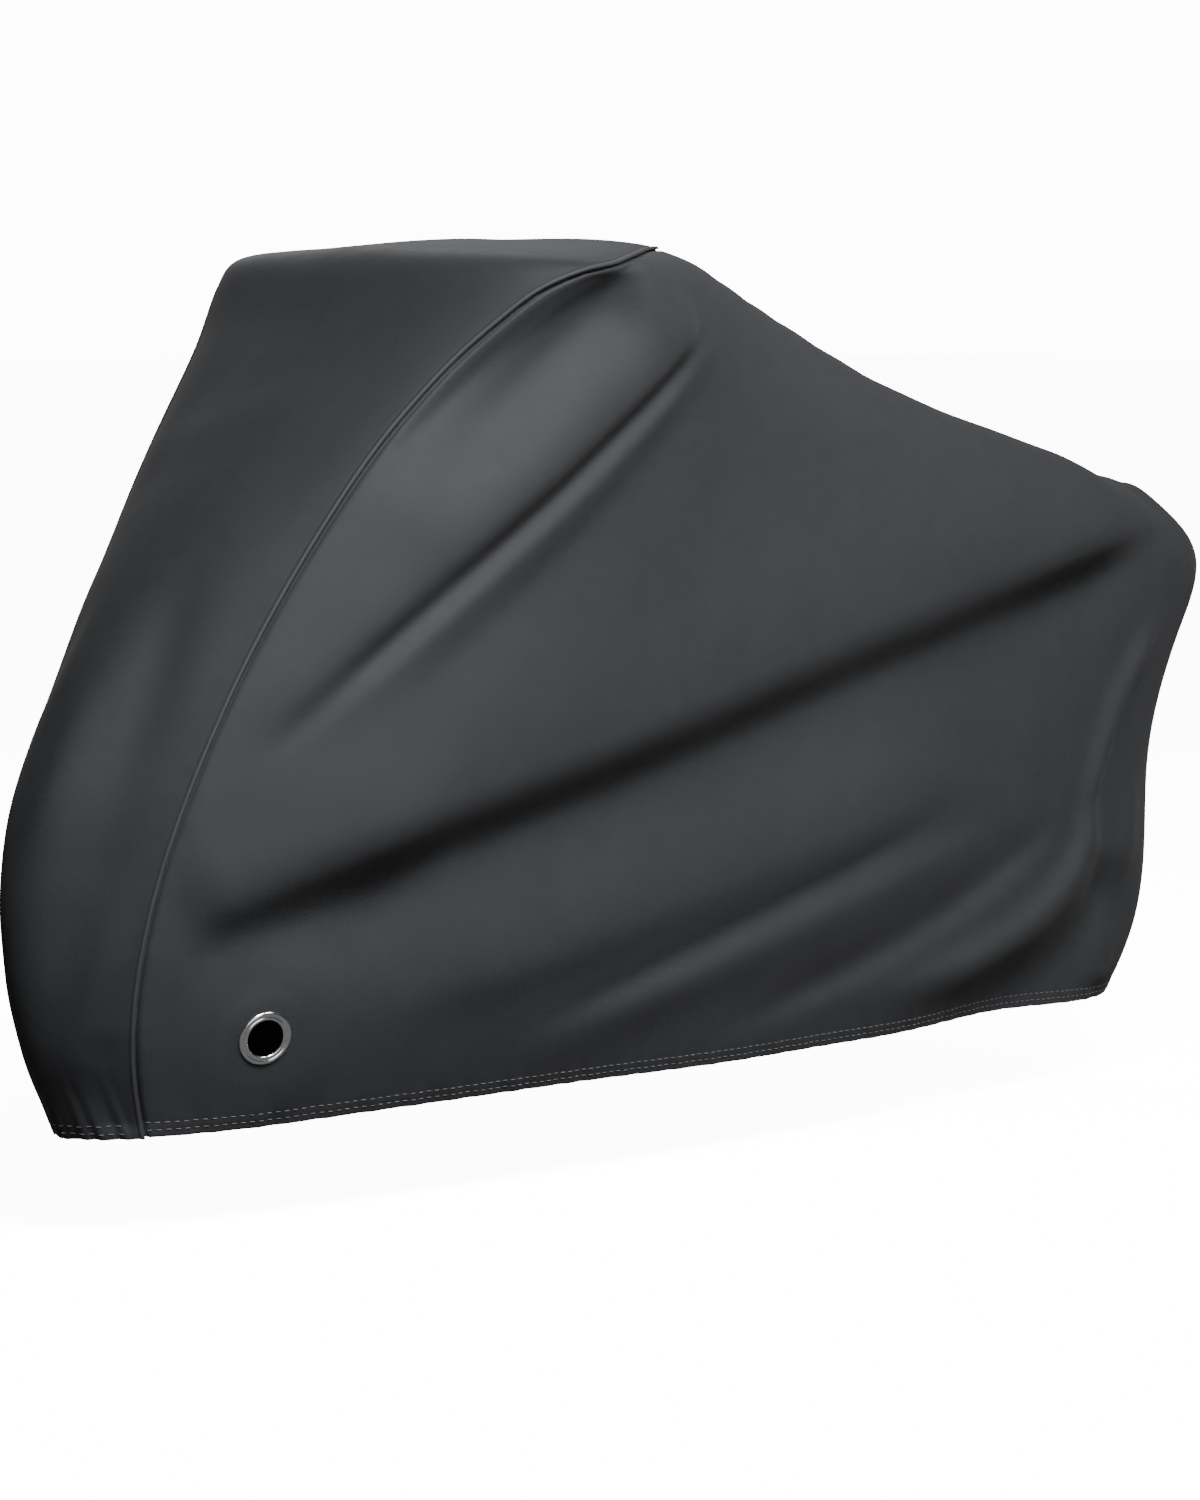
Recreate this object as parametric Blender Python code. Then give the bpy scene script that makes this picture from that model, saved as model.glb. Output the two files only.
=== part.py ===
"""Fitted outdoor cover, sewn from a hood panel and two side panels, with two eyelets.

Lengths are metres and +Z is up. The cloth is laid out over the ground with X running
from nose to tail, then moved so that the point under the top where it is held is the
origin. Every sheet is a grid on one smooth surface, pushed in and out by a table of folds.
"""
import bpy
import bmesh
import math
import numpy as np

# ---- driving dimensions -------------------------------------------------------------
CLOTH = 0.0015          # thickness of one layer of cloth
GAP = 0.0005            # air between two sewn layers
LAP = 0.011             # side panel running on beneath the edge of the hood panel
HEM = 0.021             # depth of the turned-up hem
HEM_STEP = 0.0025       # the hem's second layer ends over this height
ALLOWANCE = 0.010       # cloth turned in at the back seam
ROWS = 33               # cells from hem to top, above the hem
SIDE_CELLS = 33         # cells from arch seam to tail
HOOD_CELLS = 7          # cells from front centre line to the lapped edge
SIDE_CROWD = ((0.09, 0.10, 0.7), (0.75, 0.15, 0.15))    # closer columns by the eyelet
ROW_CROWD = ((0.07, 0.06, 0.5), (0.71, 0.09, 1.3))      # closer rows by eyelet and crest
HOLD = (0.270, 0.0, 1.0661)   # where the top rests when the cover is held

EYELET_A, EYELET_B = 2.672, 1.034   # place on the sheet, in posts and levels
CLOTH_HOLE = 0.0234     # radius cut in the cloth for the eyelet
CUT_REACH = 0.012       # how far the cutter stands out on each face of the cloth
FLAT_IN, FLAT_OUT = 0.090, 0.130    # cloth lies flat round an eyelet


def table(columns, rows):
    """Rows as one array whose columns go by name."""
    kinds = [(name, "U8" if name == "side" else float) for name in columns]
    return np.array(list(rows), dtype=kinds)


# One row per level, from the hem to the top. level is the height over the ground, and
# nose, crest and tail are distances along X; the drops lower the posts behind the crest;
# the rest are half widths at the posts flank, corner, crest, front, middle, rear and heel.
SECTION_COLUMNS = ("level", "nose", "crest", "tail",
                   "drop_front", "drop_mid", "drop_rear", "drop_tail",
                   "flank", "corner", "crest_w", "front", "middle", "rear", "heel")
SECTIONS = table(SECTION_COLUMNS, (
    (0.110, -0.300, -0.075, 1.436, -0.012, -0.005, -0.008, 0.000,
     0.043, 0.080, 0.113, 0.142, 0.154, 0.129, 0.071),
    (0.208, -0.353, -0.078, 1.501, -0.003, -0.001, -0.002, 0.012,
     0.042, 0.101, 0.154, 0.187, 0.185, 0.150, 0.085),
    (0.324, -0.380, -0.059, 1.509, 0.000, 0.000, 0.000, 0.020,
     0.047, 0.124, 0.181, 0.215, 0.201, 0.158, 0.086),
    (0.434, -0.369, -0.028, 1.508, 0.000, 0.000, 0.000, 0.022,
     0.064, 0.141, 0.199, 0.234, 0.209, 0.159, 0.084),
    (0.533, -0.326, 0.019, 1.541, 0.000, 0.000, 0.009, 0.022,
     0.076, 0.155, 0.221, 0.246, 0.206, 0.155, 0.079),
    (0.643, -0.255, 0.071, 1.596, 0.000, 0.001, 0.018, 0.046,
     0.083, 0.173, 0.241, 0.252, 0.196, 0.149, 0.076),
    (0.760, -0.155, 0.120, 1.622, 0.000, 0.013, 0.038, 0.104,
     0.109, 0.205, 0.266, 0.256, 0.185, 0.135, 0.075),
    (0.881, -0.042, 0.177, 1.602, -0.001, 0.028, 0.091, 0.185,
     0.139, 0.240, 0.290, 0.255, 0.165, 0.110, 0.060),
    (0.965, 0.047, 0.222, 1.558, 0.006, 0.055, 0.141, 0.236,
     0.164, 0.262, 0.308, 0.254, 0.134, 0.079, 0.039),
    (1.039, 0.099, 0.253, 1.503, 0.010, 0.084, 0.210, 0.274,
     0.187, 0.281, 0.320, 0.239, 0.098, 0.047, 0.018),
    (1.061, 0.125, 0.280, 1.463, -0.019, 0.088, 0.235, 0.296,
     0.178, 0.274, 0.291, 0.200, 0.059, 0.023, 0.007),
    (1.066, 0.157, 0.302, 1.439, -0.020, 0.072, 0.235, 0.296,
     0.000, 0.000, 0.000, 0.000, 0.000, 0.000, 0.000),
))
AHEAD = (0.0, 0.10, 0.40, 1.0)            # posts from nose to crest, as shares of that run
BEHIND = (0.14, 0.40, 0.70, 0.95, 1.0)    # posts from crest to tail

# The arch seam: for each level the post it passes, from the hem over the shoulder to the
# middle of the top behind the crest.
SEAM_COLUMNS = ("level", "post")
SEAM = table(SEAM_COLUMNS, (
    (0.00, 1.590), (0.64, 1.627), (1.58, 1.711), (2.32, 1.766), (3.19, 1.792),
    (4.26, 1.762), (5.26, 1.710), (6.05, 1.640), (6.85, 1.575), (7.82, 1.640),
    (8.72, 2.000), (9.36, 2.620), (9.68, 3.255), (10.10, 3.964), (11.0, 4.200),
))

# Folds of the side panels, drawn in the side view. x and z are the places of the fold's
# start, middle and end; above and below are the widths of its two flanks; out is its
# height, negative for a trough; fade_a and fade_b are the shares of its length over which
# it dies away.
FOLD_COLUMNS = ("side", "x0", "z0", "x1", "z1", "x2", "z2",
                "above", "below", "out", "fade_a", "fade_b")
FOLDS = table(FOLD_COLUMNS, (
    ("left", 0.320, 1.017, 0.150, 0.912, 0.000, 0.760, 0.052, 0.042, -0.0200, 0.2, 0.5),
    ("left", 0.441, 0.996, 0.150, 0.803, -0.130, 0.570, 0.060, 0.026, 0.0140, 0.1, 0.4),
    ("left", 0.457, 0.974, 0.160, 0.773, -0.125, 0.545, 0.018, 0.018, -0.0055, 0.2, 0.3),
    ("left", 0.495, 0.973, 0.175, 0.750, -0.115, 0.525, 0.018, 0.020, 0.0045, 0.2, 0.3),
    ("left", 0.526, 0.961, 0.215, 0.732, -0.020, 0.550, 0.020, 0.045, -0.0040, 0.3, 0.4),
    ("left", 1.430, 0.745, 0.540, 0.580, -0.220, 0.400, 0.150, 0.048, 0.0240, 0.1, 0.2),
    ("left", 1.410, 0.672, 0.590, 0.510, -0.225, 0.322, 0.034, 0.110, -0.0190, 0.1, 0.2),
    ("left", 1.050, 0.450, 0.510, 0.338, -0.030, 0.240, 0.090, 0.040, 0.0130, 0.3, 0.2),
    ("left", 1.080, 0.365, 0.640, 0.268, 0.190, 0.158, 0.020, 0.036, 0.0090, 0.3, 0.3),
    ("left", 1.197, 0.361, 0.880, 0.236, 0.500, 0.150, 0.032, 0.018, -0.0100, 0.2, 0.3),
    ("left", 1.470, 0.620, 1.310, 0.470, 1.240, 0.310, 0.022, 0.024, 0.0070, 0.3, 0.3),
    ("left", 1.262, 0.380, 1.140, 0.240, 0.740, 0.158, 0.022, 0.040, 0.0160, 0.2, 0.3),
    ("left", 1.350, 0.310, 1.207, 0.165, 0.820, 0.112, 0.048, 0.060, -0.0205, 0.2, 0.4),
    ("left", 1.400, 0.420, 1.350, 0.260, 1.330, 0.120, 0.035, 0.035, 0.0080, 0.3, 0.1),
    ("right", 0.390, 0.985, 0.230, 0.905, 0.050, 0.740, 0.060, 0.060, -0.0140, 0.3, 0.5),
    ("right", 0.460, 1.000, 0.230, 0.822, -0.060, 0.560, 0.070, 0.032, 0.0160, 0.1, 0.4),
    ("right", 0.480, 0.960, 0.240, 0.770, -0.080, 0.500, 0.024, 0.030, -0.0080, 0.2, 0.3),
    ("right", 1.420, 0.740, 0.560, 0.604, -0.120, 0.446, 0.150, 0.050, 0.0190, 0.1, 0.2),
    ("right", 1.420, 0.665, 0.540, 0.524, -0.140, 0.365, 0.038, 0.120, -0.0180, 0.1, 0.2),
    ("right", 1.010, 0.440, 0.420, 0.320, 0.020, 0.230, 0.120, 0.080, 0.0120, 0.3, 0.3),
    ("right", 1.080, 0.390, 0.640, 0.250, 0.210, 0.150, 0.040, 0.026, 0.0090, 0.3, 0.4),
    ("right", 1.130, 0.340, 0.720, 0.205, 0.360, 0.140, 0.030, 0.028, -0.0070, 0.3, 0.4),
    ("right", 1.310, 0.430, 1.090, 0.230, 0.700, 0.150, 0.038, 0.040, 0.0140, 0.3, 0.3),
    ("right", 1.345, 0.300, 1.210, 0.155, 0.840, 0.112, 0.060, 0.060, -0.0180, 0.2, 0.4),
    ("right", 1.540, 0.640, 1.400, 0.480, 1.270, 0.370, 0.026, 0.032, 0.0060, 0.3, 0.4),
))
# Folds of the hood panel, drawn in the front view: here x stands for the place along Y,
# which runs to the right hand side.
HOOD_FOLDS = table(FOLD_COLUMNS[1:], (
    (-0.050, 0.800, -0.082, 0.500, -0.034, 0.200, 0.032, 0.034, -0.0060, 0.4, 0.3),
    (-0.092, 0.420, -0.074, 0.290, -0.038, 0.140, 0.026, 0.022, 0.0050, 0.4, 0.2),
    (-0.070, 0.235, -0.062, 0.190, -0.052, 0.112, 0.016, 0.016, -0.0040, 0.4, 0.1),
    (0.044, 0.760, 0.078, 0.520, 0.040, 0.220, 0.030, 0.034, -0.0055, 0.4, 0.3),
    (0.090, 0.400, 0.076, 0.270, 0.046, 0.130, 0.024, 0.024, 0.0045, 0.4, 0.2),
    (-0.170, 0.960, -0.120, 0.860, -0.090, 0.740, 0.045, 0.050, -0.0030, 0.4, 0.4),
    (0.120, 0.965, 0.100, 0.850, 0.060, 0.700, 0.050, 0.045, -0.0035, 0.4, 0.4),
))

# Section of the metal eyelet: radius, and height over the outer face of the cloth.
EYELET_COLUMNS = ("radius", "height")
EYELET_PROFILE = table(EYELET_COLUMNS, (
    (0.0210, -0.0028), (0.0210, 0.0010), (0.0217, 0.0024), (0.0232, 0.0029),
    (0.0256, 0.0026), (0.0265, 0.0031), (0.0286, 0.0032), (0.0305, 0.0022),
    (0.0310, 0.0003), (0.0228, 0.0003), (0.0228, -0.0018), (0.0290, -0.0018),
    (0.0286, -0.0029), (0.0218, -0.0033),
))
EYELET_SIDES = 30


# ---- the smooth surface -------------------------------------------------------------
def control_net():
    """Control posts of half the cover, as levels by posts by (x, half width, z)."""
    level, nose = SECTIONS["level"], SECTIONS["nose"]
    crest, tail = SECTIONS["crest"], SECTIONS["tail"]
    net = np.zeros((len(SECTIONS), 9, 3))
    for post, share in enumerate(AHEAD):
        net[:, post, 0] = nose + (crest - nose) * share
        net[:, post, 2] = level
    for post, share in enumerate(BEHIND):
        drop = SECTIONS[SECTION_COLUMNS[4 + min(post, 3)]]
        net[:, 4 + post, 0] = crest + (tail - crest) * share
        net[:, 4 + post, 2] = level - drop
    for post, name in enumerate(SECTION_COLUMNS[8:]):
        net[:, 1 + post, 1] = SECTIONS[name]
    grown = np.zeros((len(SECTIONS) + 2, 11, 3))
    flip = np.array((1.0, -1.0, 1.0))
    grown[1:-1, 1:-1] = net
    grown[1:-1, 0] = net[:, 1] * flip
    grown[1:-1, -1] = net[:, -2] * flip
    grown[0] = 2.0 * grown[1] - grown[2]
    grown[-1] = grown[-3] * flip
    return grown


NET = control_net()
POSTS = 8.0
LEVELS = float(len(SECTIONS) - 1)


def spline_weights(place, count):
    """Uniform cubic B-spline weights of each place over count + 1 controls."""
    cell = np.clip(np.floor(place).astype(int), 0, count - 1)
    f = place - cell
    weights = np.zeros((place.size, count + 3))
    rows = np.arange(place.size)
    weights[rows, cell] = (1.0 - f) ** 3 / 6.0
    weights[rows, cell + 1] = (3.0 * f ** 3 - 6.0 * f ** 2 + 4.0) / 6.0
    weights[rows, cell + 2] = (-3.0 * f ** 3 + 3.0 * f ** 2 + 3.0 * f + 1.0) / 6.0
    weights[rows, cell + 3] = f ** 3 / 6.0
    return weights


def on_surface(post, level):
    """Points of the left half of the smooth cover at arrays of post and level places."""
    shape = np.shape(post)
    across = spline_weights(np.ravel(post), int(POSTS))
    upward = spline_weights(np.ravel(level), int(LEVELS))
    points = np.einsum("nr,rcd,nc->nd", upward, NET, across)
    points[:, 1] *= -1.0
    return points.reshape(shape + (3,))


def surface_normals(post, level):
    """Outward unit normals at the same places, from differences on the surface."""
    inner_post = np.clip(post, 0.02, POSTS - 0.02)
    inner_level = np.clip(level, 0.02, LEVELS - 0.02)
    step = 0.01
    along = on_surface(inner_post + step, inner_level) - on_surface(inner_post - step, inner_level)
    upward = on_surface(inner_post, inner_level + step) - on_surface(inner_post, inner_level - step)
    normal = np.cross(along, upward)
    normal /= np.linalg.norm(normal, axis=-1, keepdims=True)
    edge = (post <= 1e-6) | (post >= POSTS - 1e-6) | (level >= LEVELS - 1e-6)
    normal[..., 1] = np.where(edge, 0.0, normal[..., 1])
    normal /= np.linalg.norm(normal, axis=-1, keepdims=True)
    return normal


# ---- folds --------------------------------------------------------------------------
def smooth(value, low, high):
    """0 below low, 1 above high, with soft ends between them."""
    t = np.clip((value - low) / (high - low), 0.0, 1.0)
    return t * t * (3.0 - 2.0 * t)


def fold_height(u, v, fold):
    """Height of one fold at view coordinates u, v.

    The fold runs on a curve through its three points. Across it the height is a bell
    with one width on each flank, and along it the height fades in and out.
    """
    t = np.linspace(0.0, 1.0, 25)
    start, half, end = (1 - t) * (1 - 2 * t), 4 * t * (1 - t), t * (2 * t - 1)
    px = start * fold["x0"] + half * fold["x1"] + end * fold["x2"]
    pz = start * fold["z0"] + half * fold["z1"] + end * fold["z2"]
    best = np.full(u.shape, 1e9)
    side = np.zeros(u.shape)
    along = np.zeros(u.shape)
    for k in range(24):
        dx, dz = px[k + 1] - px[k], pz[k + 1] - pz[k]
        size = dx * dx + dz * dz
        share = np.clip(((u - px[k]) * dx + (v - pz[k]) * dz) / size, 0.0, 1.0)
        gap = np.hypot(u - px[k] - share * dx, v - pz[k] - share * dz)
        near = gap < best
        cross = (u - px[k]) * dz - (v - pz[k]) * dx
        best = np.where(near, gap, best)
        side = np.where(near, cross, side)
        along = np.where(near, (k + share) / 24.0, along)
    width = np.where(side > 0.0, fold["above"], fold["below"])
    body = np.exp(-(best / width) ** 2)
    ends = smooth(along, 0.0, fold["fade_a"]) * (1.0 - smooth(along, 1.0 - fold["fade_b"], 1.0))
    return fold["out"] * body * ends


def folded(points, normals):
    """Points pushed along their normals by every fold and by a slight unevenness."""
    x, y, z = points[..., 0], points[..., 1], points[..., 2]
    push = np.zeros(x.shape)
    off_centre = smooth(np.abs(y), 0.004, 0.090)
    for fold in FOLDS:
        on_side = (y > 0.0) if fold["side"] == "right" else (y < 0.0)
        push += np.where(on_side, off_centre * fold_height(x, z, fold), 0.0)
    ahead = 1.0 - smooth(x, 0.10, 0.30)
    for fold in HOOD_FOLDS:
        push += ahead * fold_height(y, z, fold)
    uneven = np.sin(9.1 * x + 3.0 * z + 2.0 * y) * np.sin(7.3 * z - 2.6 * x + 0.7)
    uneven += 0.6 * np.sin(15.7 * x - 11.9 * z + 5.0 * y + 1.3)
    push += 0.0014 * uneven * smooth(np.abs(y), 0.02, 0.10)
    return points + normals * push[..., None]


# ---- grids --------------------------------------------------------------------------
def lengths(points):
    """Running length along the last but one axis."""
    step = np.linalg.norm(np.diff(points, axis=-2), axis=-1)
    start = np.zeros(step.shape[:-1] + (1,))
    return np.concatenate((start, np.cumsum(step, axis=-1)), axis=-1)


def crowded(cells, spots):
    """Shares from 0 to 1 that lie closer round each spot of (place, reach, extra)."""
    fine = np.linspace(0.0, 1.0, 400)
    density = np.ones(400)
    for place, reach, extra in spots:
        density += extra * np.exp(-((fine - place) / reach) ** 2)
    total = np.cumsum(density)
    total = (total - total[0]) / (total[-1] - total[0])
    return np.interp(np.linspace(0.0, 1.0, cells + 1), total, fine)


def spread(start, end, share, tail):
    """Places on straight runs between two edges, at the given shares of each run's length.

    start and end are (post, level) of the two edges, one value per row. The places in
    tail, if any, are added after the end of each row.
    """
    fine = np.linspace(0.0, 1.0, 241)[None, :]
    post = start[0][:, None] * (1.0 - fine) + end[0][:, None] * fine
    level = start[1][:, None] * (1.0 - fine) + end[1][:, None] * fine
    run = lengths(on_surface(post, level))
    new_post = np.array([np.interp(share * r[-1], r, p) for r, p in zip(run, post)])
    new_level = np.array([np.interp(share * r[-1], r, v) for r, v in zip(run, level)])
    if tail:
        new_post = np.concatenate((new_post, tail[0][:, None]), axis=1)
        new_level = np.concatenate((new_level, tail[1][:, None]), axis=1)
    return new_post, new_level


def row_places(post, level):
    """Places along an edge line for the rows: the hem's two, then the graded ones."""
    run = lengths(on_surface(post, level))
    above = HEM + HEM_STEP + crowded(ROWS, ROW_CROWD) * (run[-1] - HEM - HEM_STEP)
    at = np.concatenate(((0.0, HEM), above))
    return np.interp(at, run, post), np.interp(at, run, level)


def beside(post, level, distance):
    """Places at a distance square to the line through the given places, on its hood side."""
    step = 0.01
    high = np.clip(level + step, 0.0, LEVELS)
    low = np.clip(level - step, 0.0, LEVELS)
    along_post = (on_surface(post + step, level) - on_surface(post - step, level)) / (2 * step)
    along_level = (on_surface(post, high) - on_surface(post, low)) / (high - low)[:, None]
    line = np.gradient(on_surface(post, level), axis=0)
    line[-1] = (0.0, 1.0, 0.0)
    along_level[-1] = (0.0, 1.0, 0.0)
    line /= np.linalg.norm(line, axis=1, keepdims=True)
    normal = surface_normals(post, level)
    aim = np.cross(normal, line) * distance
    jacobian = np.stack((along_post, along_level), axis=-1)
    move = np.array([np.linalg.lstsq(j, w, rcond=None)[0] for j, w in zip(jacobian, aim)])
    new_level = np.clip(level + move[:, 1], 0.0, LEVELS)
    new_level[0], new_level[-1] = 0.0, LEVELS
    return post + move[:, 0], new_level


def seam_line():
    """Closely spaced places on the arch seam, from the hem to the middle of the top."""
    step = np.hypot(np.diff(SEAM["level"]), 2.0 * np.diff(SEAM["post"]))
    run = np.concatenate(((0.0,), np.cumsum(step)))
    fine = np.linspace(0.0, run[-1], 600)
    lines = []
    kernel = np.hanning(61)
    kernel /= kernel.sum()
    for column in ("post", "level"):
        values = np.interp(fine, run, SEAM[column])
        head = 2.0 * values[0] - values[30:0:-1]
        tail = 2.0 * values[-1] - values[-2:-32:-1]
        lines.append(np.convolve(np.concatenate((head, values, tail)), kernel, "valid"))
    post, level = lines
    level = np.clip(level, 0.0, LEVELS)
    level[0], level[-1] = 0.0, LEVELS
    return post, level


def tail_line():
    """Closely spaced places up the centre line of the tail."""
    return np.full(600, POSTS), np.linspace(0.0, LEVELS, 600)


def nose_line(last_post):
    """Places up the centre line of the nose and back over the top to last_post."""
    post = np.concatenate((np.zeros(600), np.linspace(0.0, last_post, 301)[1:]))
    level = np.concatenate((np.linspace(0.0, LEVELS, 600), np.full(300, LEVELS)))
    return post, level


def panel_places(which):
    """Grid of places for the hood half or the side panel, rows from hem to top."""
    seam = row_places(*seam_line())
    if which == "hood":
        guard = beside(seam[0], seam[1], LAP)
        nose = row_places(*nose_line(guard[0][-1]))
        return spread(nose, guard, np.linspace(0.0, 1.0, HOOD_CELLS + 1), seam)
    tail = row_places(*tail_line())
    return spread(seam, tail, crowded(SIDE_CELLS, SIDE_CROWD), None)


def panel_points(which, side):
    """Folded points and normals of a panel's grid on the left or the right hand side."""
    post, level = panel_places(which)
    points = on_surface(post, level)
    normals = surface_normals(post, level)
    if side == "right":
        points[..., 1] *= -1.0
        normals[..., 1] *= -1.0
    return folded(points, normals), normals


def eyelet_frame(side):
    """Centre and outward direction of the eyelet on one side."""
    post, level = np.array([EYELET_A]), np.array([EYELET_B])
    point = on_surface(post, level)
    normal = surface_normals(post, level)
    if side == "right":
        point[..., 1] *= -1.0
        normal[..., 1] *= -1.0
    return folded(point, normal)[0], normal[0]


def flattened(points, side):
    """Points near the eyelet laid into the plane of its washers."""
    centre, normal = eyelet_frame(side)
    off = points - centre
    weight = 1.0 - smooth(np.linalg.norm(off, axis=-1), FLAT_IN, FLAT_OUT)
    return points - (weight * (off @ normal))[..., None] * normal


# ---- solids -------------------------------------------------------------------------
def face_normals(points, faces):
    """Mean unit normal at each point of a sheet of triangles."""
    a, b, c = (points[faces[:, k]] for k in range(3))
    normal = np.cross(b - a, c - a)
    total = np.zeros_like(points)
    for k in range(3):
        np.add.at(total, faces[:, k], normal)
    size = np.linalg.norm(total, axis=1, keepdims=True)
    return total / np.maximum(size, 1e-12)


def thick_sheet(name, outer, inner, sheet):
    """Closed solid between two copies of a sheet, joined round its free edges."""
    count = len(outer)
    faces = [tuple(f) for f in sheet] + [tuple(count + f[::-1]) for f in sheet]
    seen = {}
    for f in sheet:
        for k in range(3):
            i, j = int(f[k]), int(f[(k + 1) % 3])
            seen[(i, j)] = True
    for i, j in seen:
        if (j, i) not in seen:
            faces.append((j, i, count + i, count + j))
    points = np.concatenate((outer, inner)) - np.array(HOLD)
    mesh = bpy.data.meshes.new(name)
    mesh.from_pydata(points.tolist(), [], [[int(v) for v in f] for f in faces])
    mesh.validate()
    bm = bmesh.new()
    bm.from_mesh(mesh)
    bmesh.ops.remove_doubles(bm, verts=bm.verts, dist=0.00002)
    bmesh.ops.recalc_face_normals(bm, faces=bm.faces)
    bm.to_mesh(mesh)
    bm.free()
    for polygon in mesh.polygons:
        polygon.use_smooth = True
    item = bpy.data.objects.new(name, mesh)
    bpy.context.scene.collection.objects.link(item)
    return item


def halved(quads):
    """Two triangles per quad, split from its first to its third corner."""
    return np.concatenate((quads[:, (0, 1, 2)], quads[:, (0, 2, 3)]))


def grid_faces(rows, cols, start=0):
    """Triangles of a grid of rows by cols points, numbered row by row."""
    index = start + np.arange(rows * cols).reshape(rows, cols)
    quads = np.stack((index[:-1, :-1], index[:-1, 1:], index[1:, 1:], index[1:, :-1]), -1)
    return halved(quads.reshape(-1, 4))


def layer_depth(rows):
    """Thickness per row: double in the turned-up hem, single above it."""
    depth = np.full(rows, CLOTH)
    depth[:2] = 2.0 * CLOTH
    return depth


def side_panel(side):
    """One side of the cover, from under the arch seam to the seam down the back."""
    sign = 1.0 if side == "right" else -1.0
    points, normals = panel_points("side", side)
    hood, _ = panel_points("hood", side)
    points = flattened(points, side)
    rows, cols = points.shape[:2]
    grid = np.concatenate((hood[:, -2:], points[:, 1:]), axis=1)
    grid[..., 1] = sign * np.maximum(sign * grid[..., 1], 0.5 * GAP)
    flat = grid.reshape(-1, 3)
    sheet = grid_faces(rows, cols + 1)
    if side == "right":
        sheet = sheet[:, ::-1]
    lean = face_normals(flat, sheet).reshape(rows, cols + 1, 3)
    lean[:, -1, 1] = 0.0
    lean[-1, :, 1] = 0.0
    lean[:, -1] = normals[:, -1]
    lean[-1, 1:] = normals[-1]
    lean /= np.linalg.norm(lean, axis=-1, keepdims=True)
    depth = layer_depth(rows)[:, None, None]
    inside = grid - lean * depth
    inside[:, -1, 1] += sign * CLOTH
    inside[-1, 1:-1, 1] += sign * CLOTH
    index = np.arange(rows * (cols + 1)).reshape(rows, cols + 1)
    rim = np.concatenate((index[:, -1], index[-1, -2:0:-1]))
    turn = np.concatenate((lean[:, -1], lean[-1, -2:0:-1]))
    base = np.concatenate((grid[:, -1], grid[-1, -2:0:-1]))
    fold_out = base - turn * (ALLOWANCE + CLOTH)
    fold_in = fold_out + np.array((0.0, sign * CLOTH, 0.0))
    outer = np.concatenate((flat, fold_out))
    inner = np.concatenate((inside.reshape(-1, 3), fold_in))
    start = len(flat)
    strip = halved(np.stack((rim[:-1], start + np.arange(len(rim) - 1),
                             start + np.arange(1, len(rim)), rim[1:]), -1))
    if side == "right":
        strip = strip[:, ::-1]
    return thick_sheet("side_panel_" + side, outer, inner, np.concatenate((sheet, strip)))


def hood_panel():
    """The tongue-shaped panel from the front hem over the crest to the arch seam."""
    left, _ = panel_points("hood", "left")
    right, _ = panel_points("hood", "right")
    rows, cols = left.shape[:2]
    flat = np.concatenate((left.reshape(-1, 3), right.reshape(-1, 3)))
    sheet = np.concatenate((grid_faces(rows, cols), grid_faces(rows, cols, rows * cols)[:, ::-1]))
    centre = np.zeros((rows, cols), bool)
    centre[:, 0] = True
    centre[-1] = True
    own = np.arange(rows * cols)
    own[-cols:-1] = own[-cols]      # the last row closes to one point inside the seam
    twin = np.where(centre.ravel(), own, own + rows * cols)
    remap = np.concatenate((own, twin))
    sheet = remap[sheet]
    whole = (sheet[:, 0] != sheet[:, 1]) & (sheet[:, 1] != sheet[:, 2]) & (sheet[:, 2] != sheet[:, 0])
    sheet = sheet[whole]
    lean = face_normals(flat, sheet)
    lean[:rows * cols][centre.ravel(), 1] = 0.0
    lean /= np.maximum(np.linalg.norm(lean, axis=1, keepdims=True), 1e-12)
    depth = np.tile(np.repeat(layer_depth(rows), cols), 2)[:, None]
    used = np.unique(sheet)
    order = np.full(len(flat), -1)
    order[used] = np.arange(len(used))
    outer = flat + lean * (GAP + CLOTH)
    inner = flat + lean * (GAP + CLOTH - depth)
    # the hem's second layer is turned to the inside only where no side panel lies below
    edge = np.zeros((rows, cols), bool)
    edge[:, -2:] = True
    both = np.concatenate((edge.ravel(), edge.ravel()))
    inner[both] = flat[both] + lean[both] * GAP
    return thick_sheet("hood_panel", outer[used], inner[used], order[sheet])


def turned(name, profile, sides, centre, direction):
    """Ring turned round the direction through the centre from a closed section."""
    axis = np.array(direction)
    first = np.cross(axis, np.array((0.0, 0.0, 1.0)))
    first /= np.linalg.norm(first)
    second = np.cross(axis, first)
    angle = np.linspace(0.0, 2.0 * math.pi, sides, endpoint=False)
    radial = np.cos(angle)[:, None] * first + np.sin(angle)[:, None] * second
    outward = profile["radius"][None, :, None] * radial[:, None]
    points = centre + outward + profile["height"][None, :, None] * axis
    count = len(profile)
    faces = []
    for i in range(sides):
        for j in range(count):
            a, b = i * count + j, i * count + (j + 1) % count
            c, d = ((i + 1) % sides) * count + (j + 1) % count, ((i + 1) % sides) * count + j
            faces.append((a, b, c, d))
    mesh = bpy.data.meshes.new(name)
    mesh.from_pydata((points.reshape(-1, 3) - np.array(HOLD)).tolist(), [], faces)
    bm = bmesh.new()
    bm.from_mesh(mesh)
    bmesh.ops.recalc_face_normals(bm, faces=bm.faces)
    bm.to_mesh(mesh)
    bm.free()
    for polygon in mesh.polygons:
        polygon.use_smooth = True
    mesh.set_sharp_from_angle(angle=math.radians(38.0))
    item = bpy.data.objects.new(name, mesh)
    bpy.context.scene.collection.objects.link(item)
    return item


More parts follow.
